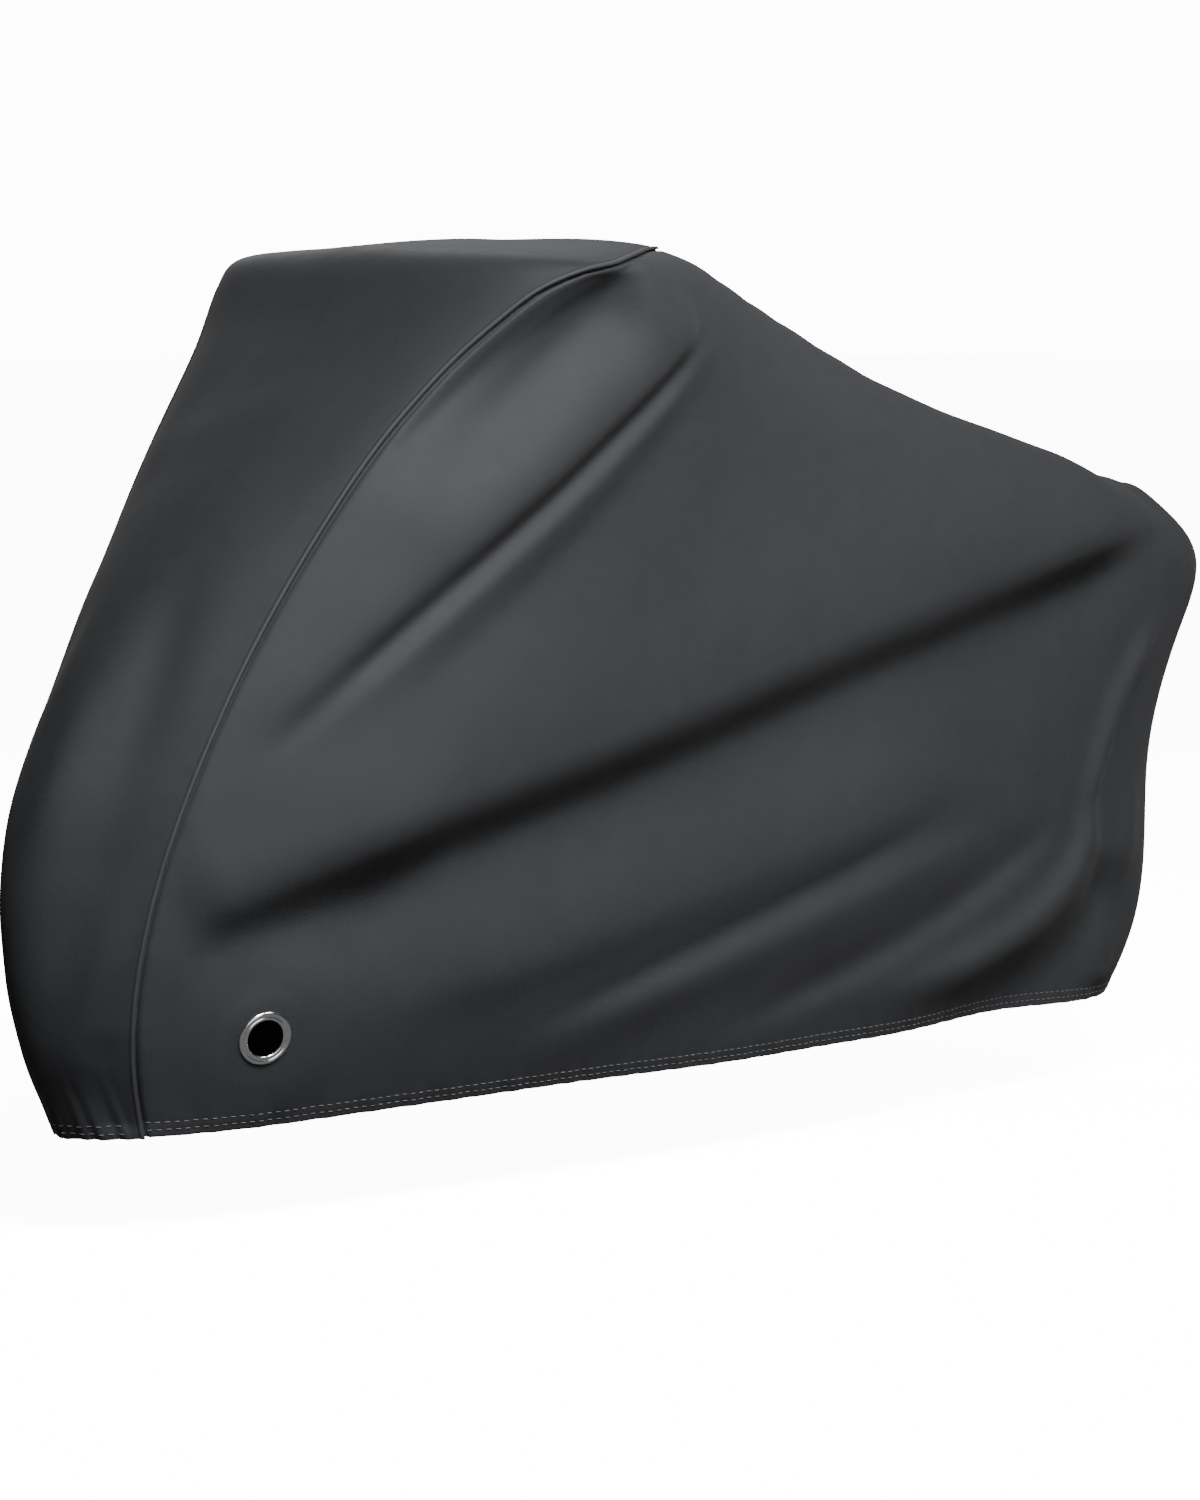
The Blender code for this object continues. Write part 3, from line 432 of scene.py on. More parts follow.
def fold_height(u, v, fold):
    """Height of one fold at view coordinates u, v.

    The fold runs on the parabola through its three points. Across it the height is a bell,
    exp(-(distance / width) squared), with one width on each flank, and along it the height
    fades in and out. Only the points within reach of the fold are worked out.
    """
    t = np.linspace(0.0, 1.0, FOLD_CUTS + 1)
    start, half, end = (1 - t) * (1 - 2 * t), 4 * t * (1 - t), t * (2 * t - 1)
    px = start * fold["x0"] + half * fold["x1"] + end * fold["x2"]
    pz = start * fold["z0"] + half * fold["z1"] + end * fold["z2"]
    height = np.zeros(u.shape)
    reach = FOLD_REACH * max(fold["above"], fold["below"])
    near_fold = (u > px.min() - reach) & (u < px.max() + reach)
    near_fold &= (v > pz.min() - reach) & (v < pz.max() + reach)
    a, b = u[near_fold], v[near_fold]
    best = np.full(a.shape, 1e9)
    side = np.zeros(a.shape)
    along = np.zeros(a.shape)
    for k in range(FOLD_CUTS):
        dx, dz = px[k + 1] - px[k], pz[k + 1] - pz[k]
        size = dx * dx + dz * dz
        share = np.clip(((a - px[k]) * dx + (b - pz[k]) * dz) / size, 0.0, 1.0)
        gap = np.hypot(a - px[k] - share * dx, b - pz[k] - share * dz)
        near = gap < best
        cross = (a - px[k]) * dz - (b - pz[k]) * dx
        best = np.where(near, gap, best)
        side = np.where(near, cross, side)
        along = np.where(near, (k + share) / FOLD_CUTS, along)
    width = np.where(side > 0.0, fold["above"], fold["below"])
    body = bell(best, 0.0, width)
    ends = smooth(along, 0.0, fold["fade_a"]) * (1.0 - smooth(along, 1.0 - fold["fade_b"], 1.0))
    height[near_fold] = fold["out"] * body * ends
    return height


def fold_sum(u, v, folds):
    """Height of several folds together at view coordinates u, v."""
    total = np.zeros(u.shape)
    for fold in folds:
        total += fold_height(u, v, fold)
    return total


def bell(value, place, breadth):
    """Bell of height 1: exp(-((value - place) / breadth) squared)."""
    return np.exp(-((value - place) / breadth) ** 2)


def folded(points, normals):
    """Points pushed along their normals by every fold and by a slight unevenness."""
    x, y, z = points[..., 0], points[..., 1], points[..., 2]
    push = np.zeros(x.shape)
    off_centre = smooth(np.abs(y), 0.004, 0.090)
    for side, on_side in (("left", y < 0.0), ("right", y > 0.0)):
        heights = fold_sum(x, z, FOLDS[side])
        push += np.where(on_side, off_centre * heights, 0.0)
    push += (1.0 - smooth(x, *HOOD_REACH)) * fold_sum(y, z, HOOD_FOLDS)
    uneven = np.sin(9.1 * x + 3.0 * z + 2.0 * y) * np.sin(7.3 * z - 2.6 * x + 0.7)
    uneven += 0.6 * np.sin(15.7 * x - 11.9 * z + 5.0 * y + 1.3)
    push += UNEVEN * uneven * smooth(np.abs(y), 0.02, 0.10)
    return points + normals * push[..., None]


# ---- places on the cloth ----
def lengths(points):
    """Running length along the last but one axis: the summed distances between points."""
    step = np.linalg.norm(np.diff(points, axis=-2), axis=-1)
    start = np.zeros(step.shape[:-1] + (1,))
    return np.concatenate((start, np.cumsum(step, axis=-1)), axis=-1)


def stations(length, low, cells, high):
    """Distances along an edge: the low ones, even cells, then the high ones from its end."""
    middle = np.linspace(low[-1], length - high[-1], cells + 1)
    return np.concatenate((low[:-1], middle, length - np.array(high[-2::-1])))


def spread(start, end, low, cells, high):
    """Places on straight runs between two edges, at the stations of each run's length."""
    fine = np.linspace(0.0, 1.0, RUN_PLACES)[None, :]
    post = start[0][:, None] * (1.0 - fine) + end[0][:, None] * fine
    level = start[1][:, None] * (1.0 - fine) + end[1][:, None] * fine
    run = lengths(on_surface(post, level))
    whole = np.maximum(run[:, -1], 1e-9)
    # on a very short run the fixed steps shrink with it
    scale = np.minimum(1.0, SHORT_SHARE * whole / max(low[-1] + high[-1], 1e-9))
    at = [stations(w, np.array(low) * s, cells, np.array(high) * s) for w, s in zip(whole, scale)]
    new_post = np.array([np.interp(a, r, p) for a, r, p in zip(at, run, post)])
    new_level = np.array([np.interp(a, r, v) for a, r, v in zip(at, run, level)])
    return new_post, new_level


def row_places(post, level, cells):
    """Places along an edge line for the rows: close ones in the hem and at the spine, even
    ones between them."""
    run = lengths(on_surface(post, level))
    at = stations(run[-1], HEM_STEPS, cells, EDGE_STEPS)
    return np.interp(at, run, post), np.interp(at, run, level)


def beside(post, level, distance):
    """Places at a distance square to the line through the given places, on its hood side:
    the step wanted in space is solved for the two steps in post and level."""
    high, low = np.clip(level + STEP, 0.0, LEVELS), np.clip(level - STEP, 0.0, LEVELS)
    along_post = (on_surface(post + STEP, level) - on_surface(post - STEP, level)) / (2 * STEP)
    along_level = (on_surface(post, high) - on_surface(post, low)) / (high - low)[:, None]
    line = np.gradient(on_surface(post, level), axis=0)
    line[-1] = (0.0, 1.0, 0.0)
    along_level[-1] = (0.0, 1.0, 0.0)
    aim = np.cross(surface_normals(post, level), unit(line)) * distance
    square = np.stack((along_post, along_level), axis=-1)
    move = np.einsum("nij,nj->ni", np.linalg.pinv(square), aim)
    new_level = np.clip(level + move[:, 1], 0.0, LEVELS)
    new_level[0], new_level[-1] = 0.0, LEVELS
    return post + move[:, 0], new_level


def seam_line():
    """Closely spaced places on the arch seam: its table joined by straight runs and then
    smoothed with a bell-shaped window."""
    step = np.hypot(np.diff(SEAM["level"]), 2.0 * np.diff(SEAM["post"]))
    run = np.concatenate(((0.0,), np.cumsum(step)))
    fine = np.linspace(0.0, run[-1], LINE_PLACES)
    lines = []
    kernel = np.hanning(2 * SEAM_WINDOW + 1)
    kernel /= kernel.sum()
    for column in ("post", "level"):
        values = np.interp(fine, run, SEAM[column])
        head = 2.0 * values[0] - values[SEAM_WINDOW:0:-1]
        tail = 2.0 * values[-1] - values[-2:-SEAM_WINDOW - 2:-1]
        lines.append(np.convolve(np.concatenate((head, values, tail)), kernel, "valid"))
    post, level = lines
    level = np.clip(level, 0.0, LEVELS)
    level[0], level[-1] = 0.0, LEVELS
    return post, level


def tail_line():
    """Closely spaced places up the centre line of the tail."""
    return np.full(LINE_PLACES, POSTS), np.linspace(0.0, LEVELS, LINE_PLACES)


def nose_line(last_post):
    """Places up the centre line of the nose and back over the top to last_post."""
    top = LINE_PLACES // 2
    post = np.concatenate((np.zeros(LINE_PLACES), np.linspace(0.0, last_post, top + 1)[1:]))
    level = np.concatenate((np.linspace(0.0, LEVELS, LINE_PLACES), np.full(top, LEVELS)))
    return post, level


def half_at(post, level, side):
    """Points and normals of the smooth surface on one side."""
    points, normals = on_surface(post, level), surface_normals(post, level)
    if side == "right":
        points[..., 1] *= -1.0
        normals[..., 1] *= -1.0
    return points, normals


def cloth_at(post, level, side):
    """Points of the folded cloth over the ground, with the smooth surface's normals."""
    points, normals = half_at(post, level, side)
    return flattened(folded(points, normals), side), normals


def eyelet_frame(side):
    """Centre and outward direction of the eyelet on one side."""
    point, normal = half_at(np.array([EYELET_A]), np.array([EYELET_B]), side)
    return folded(point, normal)[0], normal[0]


def flattened(points, side):
    """Points near the eyelet laid into the plane of its washers."""
    centre, normal = eyelet_frame(side)
    off = points - centre
    weight = 1.0 - smooth(np.linalg.norm(off, axis=-1), FLAT_IN, FLAT_OUT)
    return points - (weight * (off @ normal))[..., None] * normal


# ---- meshes ----
def new_piece(name, points, faces, uv=None, highlight_share=None):
    """Smooth-shaded mesh object of points over the ground, set into the model's frame, with
    its cloth coordinates and, where given, the share of painted highlight at each point."""
    mesh = bpy.data.meshes.new(name)
    mesh.from_pydata((points - HOLD).tolist(), [], faces.tolist())
    if uv is not None:
        layer = mesh.uv_layers.new(name="cloth")
        corner = np.empty(len(mesh.loops), dtype=np.int32)
        mesh.loops.foreach_get("vertex_index", corner)
        layer.data.foreach_set("uv", uv[corner].astype(np.float32).ravel())
    if highlight_share is not None:
        painted_highlight = mesh.attributes.new("highlight_share", "FLOAT", "POINT")
        painted_highlight.data.foreach_set("value", highlight_share.astype(np.float32))
    mesh.polygons.foreach_set("use_smooth", np.ones(len(mesh.polygons), dtype=bool))
    item = bpy.data.objects.new(name, mesh)
    bpy.context.scene.collection.objects.link(item)
    return item


def merged(item):
    """Doubles merged and loose points dropped."""
    bm = bmesh.new()
    bm.from_mesh(item.data)
    bmesh.ops.remove_doubles(bm, verts=bm.verts, dist=MERGE)
    loose = [v for v in bm.verts if not v.link_faces]
    bmesh.ops.delete(bm, geom=loose, context="VERTS")
    bm.to_mesh(item.data)
    bm.free()
    return item


def thickened(item, thickness):
    """Cloth given its thickness towards the inside."""
    solid = item.modifiers.new("thickness", "SOLIDIFY")
    solid.thickness = thickness
    solid.offset = -1.0
    solid.use_even_offset = True
    solid.thickness_clamp = 0.8
    solid.use_rim = True
    return item


def quad_grid(rows, cols, start=0):
    """Quads of a grid of rows by cols points, numbered row by row."""
    index = start + np.arange(rows * cols).reshape(rows, cols)
    quads = np.stack((index[:-1, :-1], index[:-1, 1:], index[1:, 1:], index[1:, :-1]), -1)
    return quads.reshape(-1, 4)


def hem_row(height):
    """Number of the row under a height in the hem, and the share on to the next row."""
    row = np.interp(height, HEM_STEPS, np.arange(len(HEM_STEPS)))
    low = np.floor(row).astype(int)
    return low, row - low


def with_turn_up(pairs):
    """Columns joined side by side, with the rows of the hem's inner layer put before the
    outer ones, and how far each row lies in from the outer face: the whole drop in the
    inner layer, half of it in the fold."""
    low, part = hem_row(TURN_UP)
    part = part[:, None]
    grids = []
    for pair in pairs:
        grid = np.concatenate(pair, axis=1)
        inner = grid[low] * (1.0 - part) + grid[low + 1] * part
        grids.append(np.concatenate((inner, grid)))
    depth = np.zeros(len(grids[0]))
    depth[:len(TURN_UP)] = HEM_DROP * cloth().thickness
    depth[len(TURN_UP)] = 0.5 * HEM_DROP * cloth().thickness
    return grids[0], grids[1], depth


def up_columns(points):
    """Running length of every point up its column."""
    return np.swapaxes(lengths(np.swapaxes(points, 0, 1)), 0, 1)


def run_up(points):
    """Run of every point up its column from the hem's edge, zero in the inner layer."""
    inner = np.zeros((len(TURN_UP), points.shape[1]))
    return np.concatenate((inner, up_columns(points[len(TURN_UP):])))


def beside_seam(seam, shares):
    """Places on the hood's side of the seam, at shares of the lap's depth."""
    guard = beside(seam[0], seam[1], LAP)
    return [s[:, None] + (g - s)[:, None] * shares for s, g in zip(seam, guard)]


def surface_uv(points):
    """Cloth coordinates in metres: the run along the row and the run up the column."""
    return np.stack((lengths(points), up_columns(points)), -1).reshape(-1, 2)


# ---- fine shape ----
def puckers(points, along, distance, reach, height, pitch):
    """Small uneven ripples square to a sewn edge: two sines of different pitch along the
    edge, dying away as a bell of the distance from it."""
    wave = np.sin(2.0 * math.pi * along / pitch + 1.7 * np.sin(11.0 * along))
    wave += 0.6 * np.sin(2.0 * math.pi * along / (0.61 * pitch) + 6.0 * points[..., 2])
    return height * wave * bell(distance, 0.0, reach)


def crumple(points):
    """Low, soft unevenness of handled cloth: a few crossing sines of uneven direction."""
    x, y, z = points[..., 0], points[..., 1], points[..., 2]
    first = np.sin(31.0 * x + 22.0 * z + 3.0 * np.sin(6.0 * x - 4.0 * z))
    second = np.sin(24.0 * z - 19.0 * x + 2.4 * np.sin(7.0 * z + 5.0 * x + 9.0 * y))
    third = np.sin(47.0 * x - 35.0 * z + 12.0 * y + 2.0 * np.sin(9.0 * x))
    return CRUMPLE_SOFT * first * second + CRUMPLE_FINE * third


def side_points(side):
    """Outer face of one side panel over the ground, from the lap under the hood to the
    back seam and from the turned-up hem to the spine, with its unit normals."""
    seam = row_places(*seam_line(), SIDE_ROWS)
    tail = row_places(*tail_line(), SIDE_ROWS)
    sheet = spread(seam, tail, SEAM_STEPS, SIDE_COLS, EDGE_STEPS)
    lapped = beside_seam(seam, np.array(LAP_SHARES))
    post, level, depth = with_turn_up(zip(lapped, sheet))
    base, normals = cloth_at(post, level, side)
    lap = len(LAP_SHARES)
    across = lengths(base)
    from_seam = across - across[:, lap:lap + 1]
    from_tail = across[:, -1:] - across
    height = run_up(base)
    from_top = height[-1:] - height
    seam_run = np.broadcast_to(height[:, lap:lap + 1], height.shape)
    creases = fold_sum(base[..., 0], base[..., 2], FINE_FOLDS[side])
    push = creases * smooth(from_seam, 0.003, 0.020) * smooth(from_tail, 0.0, 0.03)
    push += crumple(base) * smooth(height, 0.0, 0.05)
    push += puckers(base, seam_run, from_seam, *SIDE_SEAM_PUCKERS)
    push += puckers(base, across, height, *SIDE_HEM_PUCKERS)
    # the cloth is drawn down into the sewn seams
    for run, (deep, place, breadth) in ((from_seam, SEAM_GROOVE),
                                        (np.minimum(from_tail, from_top), BACK_GROOVE)):
        push -= deep * bell(run, place, breadth)
    # and lifts a little between the hem's stitch rows
    use = bpy.context.scene.cover_sewing
    rows = bell(height, use.low_row, ROW_BREADTH) + bell(height, use.high_row, ROW_BREADTH)
    between = bell(height, 0.5 * (use.low_row + use.high_row), SWELL_BREADTH)
    push += HEM_SWELL * (between - 0.6 * rows)
    # round the eyelet it stays flat
    centre, _ = eyelet_frame(side)
    push *= smooth(np.linalg.norm(base - centre, axis=-1), SMOOTH_IN, SMOOTH_OUT)
    return base + normals * (push - depth[:, None])[..., None], normals


def hood_points(side):
    """Outer face of half the hood panel over the ground, from the middle of the nose to
    the folded edge at the arch seam, with the layer turned under it, and unit normals."""
    seam = row_places(*seam_line(), HOOD_ROWS)
    guard = beside(seam[0], seam[1], LAP)
    nose = row_places(*nose_line(guard[0][-1]), HOOD_ROWS)
    sheet = spread(nose, guard, (0.0,), HOOD_COLS, (0.0,))
    edges = beside_seam(seam, EDGE_PROFILE["inward"] / LAP)
    post, level, depth = with_turn_up(zip(sheet, edges))
    lift = np.concatenate((np.full(HOOD_COLS + 1, HOOD_LIFT), EDGE_PROFILE["lift"]))
    base, normals = cloth_at(post, level, side)
    across = lengths(base)
    from_seam = across[:, HOOD_COLS:HOOD_COLS + 1] + LAP - across
    height = run_up(base)
    seam_run = np.broadcast_to(height[:, -1:], height.shape)
    push = crumple(base) * smooth(height, 0.0, 0.05)
    creases = fold_sum(base[..., 1], base[..., 2], FINE_HOOD)
    push += creases * (1.0 - smooth(base[..., 0], *HOOD_REACH))
    push += puckers(base, seam_run, np.maximum(from_seam, 0.0), *HOOD_SEAM_PUCKERS)
    for ripple in HOOD_HEM_PUCKERS:
        push += puckers(base, across, height, *ripple)
    push *= smooth(np.abs(from_seam), 0.004, 0.020)
    drop = depth[:, None] * np.ones(post.shape)
    drop[:, HOOD_COLS + 1:] = 0.0
    return base + normals * (push + lift - drop)[..., None], normals


# ---- pieces ----
def cloth():
    """The cloth settings."""
    return bpy.context.scene.cover_cloth


def make_side(side):
    """Fine sheet of one side panel, with its hem turned up, its allowance turned in at the
    back seam and a round hole under the eyelet."""
    sign = 1.0 if side == "right" else -1.0
    points, normals = side_points(side)
    rows, cols = points.shape[:2]
    points[..., 1] = sign * np.maximum(sign * points[..., 1], MIDDLE)
    uv = surface_uv(points)
    index = np.arange(rows * cols).reshape(rows, cols)
    first = len(TURN_UP)
    rim = np.concatenate((index[first:, -1], index[-1, -2:len(LAP_SHARES) - 1:-1]))
    base = points.reshape(-1, 3)[rim]
    turn = normals.reshape(-1, 3)[rim].copy()
    turn[:, 1] = 0.0
    turn = unit(turn)
    strips = [base - turn * depth for depth in TURN_IN]
    flat = np.concatenate([points.reshape(-1, 3)] + strips)
    flat[rows * cols:, 1] = MIDDLE
    uv = np.concatenate([uv] + [uv[rim] + (0.0, depth) for depth in TURN_IN])
    faces = [quad_grid(rows, cols)]
    added = rows * cols + np.arange(len(TURN_IN) * len(rim)).reshape(len(TURN_IN), -1)
    for near, far in zip((rim, *added), added):
        faces.append(np.stack((near[:-1], far[:-1], far[1:], near[1:]), -1))
    flat, faces = with_hole(flat, np.concatenate(faces), side)
    if side == "right":
        faces = faces[:, ::-1]
    item = merged(new_piece("side_sheet_" + side, flat, faces, uv))
    return thickened(item, cloth().thickness)


def with_hole(points, faces, side):
    """Faces inside the eyelet's hole left out, and the corners that reach into it moved
    out to its edge."""
    centre, normal = eyelet_frame(side)
    off = points - centre
    level = off @ normal
    flat = off - level[:, None] * normal
    radius = np.linalg.norm(flat, axis=1)
    inside = (radius < CLOTH_HOLE) & (np.abs(level) < HOLE_DEPTH)
    faces = faces[~inside[faces].all(axis=1)]
    scale = np.where(inside, CLOTH_HOLE / np.maximum(radius, 1e-6), 1.0)
    moved = centre + flat * scale[:, None] + level[:, None] * normal
    return np.where(inside[:, None], moved, points), faces


def make_hood():
    """Fine sheet of the hood panel: both halves joined along the middle, its long edges
    folded under and its hem turned up."""
    halves, places, sheets, highlight_shares = [], [], [], []
    for k, side in enumerate(("left", "right")):
        points, _ = hood_points(side)
        rows, cols = points.shape[:2]
        highlight_share = np.zeros((rows, cols))
        # painted highlight: a bell across the crest of the folded edge, where it would catch the
        # light
        highlight_share[:, HOOD_COLS + 1:] = bell(EDGE_PROFILE["inward"], EDGE_CREST, HIGHLIGHT_BREADTH)
        highlight_share[:, -EDGE_UNDER:] = 0.0
        highlight_shares.append(highlight_share.ravel())
        points[:, 0, 1] = 0.0
        points[-1, :, 1] = 0.0
        faces = quad_grid(rows, cols, k * rows * cols)
        keep = (faces[:, 0] % (rows * cols) // cols >= len(TURN_UP))
        keep |= faces[:, 0] % cols < HOOD_COLS
        faces = faces[keep]
        uv = surface_uv(points) * ((-1.0, 1.0) if side == "left" else (1.0, 1.0))
        halves.append(points.reshape(-1, 3))
        places.append(uv)
        sheets.append(faces[:, ::-1] if side == "right" else faces)
    item = new_piece("hood_sheet", np.concatenate(halves), np.concatenate(sheets),
                     np.concatenate(places), np.concatenate(highlight_shares))
    return thickened(merged(item), cloth().thickness)


def stitch_row(path, normals, start):
    """Stitches along a path: each is a short tube of thread whose ends dive into the
    cloth; its middle line is a low arch and its section a circle."""
    use = bpy.context.scene.cover_sewing
    run = lengths(path)
    count = int((run[-1] - start) / (use.stitch + use.space))
    begin = start + (use.stitch + use.space) * np.arange(count)
    t = np.linspace(0.0, 1.0, STITCH_STEPS)
    at = begin[:, None] + use.stitch * t
    middle = np.stack([np.interp(at, run, path[:, k]) for k in range(3)], -1)
    out = unit(np.stack([np.interp(at, run, normals[:, k]) for k in range(3)], -1))
    rise, dive, power = STITCH_ARCH
    arch = use.radius * (rise - dive * np.abs(2.0 * t - 1.0) ** power)
    middle += out * arch[None, :, None]
    across = np.cross(out, unit(np.gradient(middle, axis=1)))
    angle = np.linspace(0.0, 2.0 * math.pi, STITCH_SIDES, endpoint=False)
    cos, sin = np.cos(angle)[:, None], np.sin(angle)[:, None]
    ring = cos * across[:, :, None] + sin * out[:, :, None]
    tube = middle[:, :, None] + use.radius * ring
    shape = (count, STITCH_STEPS, STITCH_SIDES)
    grid = np.arange(math.prod(shape)).reshape(shape)
    after = np.roll(grid, -1, axis=2)
    faces = np.stack((grid[:, :-1], grid[:, 1:], after[:, 1:], after[:, :-1]), -1)
    uv = np.stack((np.broadcast_to(at[:, :, None], shape),
                   np.broadcast_to(angle * use.radius, shape)), -1)
    return tube.reshape(-1, 3), faces.reshape(-1, 4), uv.reshape(-1, 2)


def make_stitches(which):
    """Thread of the two stitch rows round the hem of one panel: which is hood, left or
    right, and the hood's rows run on both sides of its middle."""
    use = bpy.context.scene.cover_sewing
    hood = which == "hood"
    tubes, sheets, places, start = [], [], [], 0
    for side in (("left", "right") if hood else (which,)):
        points, normals = hood_points(side) if hood else side_points(side)
        span = slice(0, HOOD_COLS) if hood else slice(len(LAP_SHARES) + CLEAR_OF_SEAM, -CLEAR_OF_TAIL)
        outer, lean = points[len(TURN_UP):, span], normals[len(TURN_UP):, span]
        for height in (use.low_row, use.high_row):
            low, part = hem_row(height)
            path = outer[low] * (1.0 - part) + outer[low + 1] * part
            tube, quads, uv = stitch_row(path, lean[low], 0.5 * use.space)
            tubes.append(tube)
            sheets.append(quads + start)
            places.append(uv)
            start += len(tube)
    return new_piece("hem_stitches_" + which, np.concatenate(tubes), np.concatenate(sheets),
                     np.concatenate(places))


def make_eyelet(side):
    """Pressed pair of washers, turned round the eyelet's axis from one closed section."""
    sides = bpy.context.scene.cover_eyelet.sides
    axis_at, axis = eyelet_frame(side)
    first = unit(np.cross(axis, (0.0, 0.0, 1.0)))
    second = np.cross(axis, first)
    angle = np.linspace(0.0, 2.0 * math.pi, sides, endpoint=False)
    radial = np.cos(angle)[:, None] * first + np.sin(angle)[:, None] * second
    points = axis_at + EYELET_PROFILE["radius"][None, :, None] * radial[:, None]
    points = points + EYELET_PROFILE["height"][None, :, None] * axis
    count = len(EYELET_PROFILE)
    grid = np.arange(sides * count).reshape(sides, count)
    after, below = np.roll(grid, -1, axis=0), np.roll(grid, -1, axis=1)
    faces = np.stack((grid, after, np.roll(after, -1, axis=1), below), -1).reshape(-1, 4)
    arc = np.broadcast_to(angle[:, None] * EYELET_MEAN, (sides, count))
    over = np.broadcast_to(EYELET_PROFILE["radius"], (sides, count))
    uv = np.stack((arc, over), -1).reshape(-1, 2)
    item = new_piece("eyelet_ring_" + side, points.reshape(-1, 3), faces, uv)
    bm = bmesh.new()
    bm.from_mesh(item.data)
    bmesh.ops.recalc_face_normals(bm, faces=bm.faces)
    bm.to_mesh(item.data)
    bm.free()
    return item


# ---- materials ----
def wired(owner, kind, settings=(), links=()):
    """New node of a kind in a material or the world: settings go to its inputs or
    properties, links to its inputs."""
    node = owner.node_tree.nodes.new(kind)
    for key, value in settings:
        if key in node.inputs:
            node.inputs[key].default_value = value
        else:
            setattr(node, key, value)
    for key, source in links:
        owner.node_tree.links.new(source, node.inputs[key])
    return node


def blank_material(name):
    """Material with only a Principled shader and its output."""
    material = bpy.data.materials.new(name)
    material.use_nodes = True
    return material, material.node_tree.nodes["Principled BSDF"]


def scaled(owner, source, low, high):
    """Value from 0 to 1 spread between low and high."""
    return wired(owner, "ShaderNodeMapRange", (("To Min", low), ("To Max", high)),
                 (("Value", source),)).outputs["Result"]


def noise(material, where, scale, detail, roughness=0.5, distortion=0.0):
    """Noise from 0 to 1 over the given coordinates."""
    settings = (("Scale", scale), ("Detail", detail), ("Roughness", roughness),
                ("Distortion", distortion))
    return wired(material, "ShaderNodeTexNoise", settings, (("Vector", where),)).outputs["Fac"]


def reckoned(material, operation, first, second):
    """Sum or product of two values."""
    return wired(material, "ShaderNodeMath", (("operation", operation),),
                 ((0, first), (1, second))).outputs[0]


def tinted(material, shader, colour, brightness):
    """Base colour of the shader: a colour times the brightness."""
    tint = wired(material, "ShaderNodeVectorMath", (("operation", "SCALE"),),
                 (("Scale", brightness),))
    tint.inputs[0].default_value = tuple(colour)
    material.node_tree.links.new(tint.outputs[0], shader.inputs["Base Color"])


def bumped(material, height, strength, distance, under=None):
    """Normal with one more bump over the normal under it."""
    links = (("Height", height),) + ((("Normal", under),) if under else ())
    return wired(material, "ShaderNodeBump", (("Strength", strength), ("Distance", distance)),
                 links).outputs[0]


def cloth_material(name, colour):
    """Coated weave: ribs crossing in a bump, uneven dye, scuffs, and a painted highlight on
    the crest of the hood's folded edge where the mesh says so."""
    use = cloth()
    material, shader = blank_material(name)
    coords = wired(material, "ShaderNodeTexCoord")
    where, flat = coords.outputs["Object"], coords.outputs["UV"]
    cloudy = noise(material, where, scale=2.6, detail=5.0, roughness=0.6)
    mottled = noise(material, where, scale=46.0, detail=6.0, roughness=0.65)
    speck = noise(material, flat, scale=900.0, detail=2.0)
    painted_highlight = wired(material, "ShaderNodeAttribute", (("attribute_name", "highlight_share"),)).outputs["Fac"]
    tone = reckoned(material, "ADD", scaled(material, cloudy, 0.34, 0.58),
                    scaled(material, mottled, 0.36, 0.56))
    tone = reckoned(material, "MULTIPLY", tone, scaled(material, speck, 0.86, 1.16))
    # painted highlight: the crest of the hood's folded edge is made brighter where it would catch the
    # light
    tone = reckoned(material, "MULTIPLY", tone, scaled(material, painted_highlight, 1.0, HIGHLIGHT_LIFT))
    tinted(material, shader, colour, tone)
    link = material.node_tree.links.new
    link(scaled(material, mottled, use.roughness - 0.09, use.roughness + 0.11),
         shader.inputs["Roughness"])
    shader.inputs["Sheen Weight"].default_value = use.sheen
    shader.inputs["Sheen Roughness"].default_value = 0.45
    shader.inputs["Specular IOR Level"].default_value = 0.30
    link(woven_normal(material, flat, where), shader.inputs["Normal"])
    return material


def woven_normal(material, flat, where):
    """Normal of the cloth, from warp and weft waves over its own coordinates, with fine
    grain and slow crinkles over them."""
    settings = (("Scale", WAVE_TURN / cloth().pitch), ("Distortion", 1.2), ("Detail", 1.0),
                ("Detail Scale", 0.6))
    warp, weft = (wired(material, "ShaderNodeTexWave", (("bands_direction", axis),) + settings,
                        (("Vector", flat),)).outputs["Fac"] for axis in ("X", "Y"))
    ribs = reckoned(material, "MULTIPLY", warp, weft)
    grain = noise(material, where, scale=340.0, detail=4.0)
    normal = bumped(material, ribs, strength=0.22, distance=0.0002)
    normal = bumped(material, grain, strength=0.25, distance=0.0003, under=normal)
    crinkles = noise(material, where, scale=17.0, detail=3.0, distortion=0.7)
    return bumped(material, crinkles, strength=0.35, distance=0.0014, under=normal)


def thread_material(name, colour):
    """Twisted thread: slanting strands in a bump and a little fuzz."""
    material, shader = blank_material(name)
    coords = wired(material, "ShaderNodeTexCoord")
    strands = wired(material, "ShaderNodeTexWave",
                    (("bands_direction", "DIAGONAL"), ("Scale", 260.0), ("Distortion", 1.0)),
                    (("Vector", coords.outputs["UV"]),)).outputs["Fac"]
    fuzz = noise(material, coords.outputs["Object"], scale=500.0, detail=3.0)
    tinted(material, shader, colour, scaled(material, fuzz, 0.75, 1.25))
    link = material.node_tree.links.new
    link(scaled(material, fuzz, 0.45, 0.70), shader.inputs["Roughness"])
    shader.inputs["Sheen Weight"].default_value = 0.3
    link(bumped(material, strands, strength=0.5, distance=0.0001), shader.inputs["Normal"])
    return material


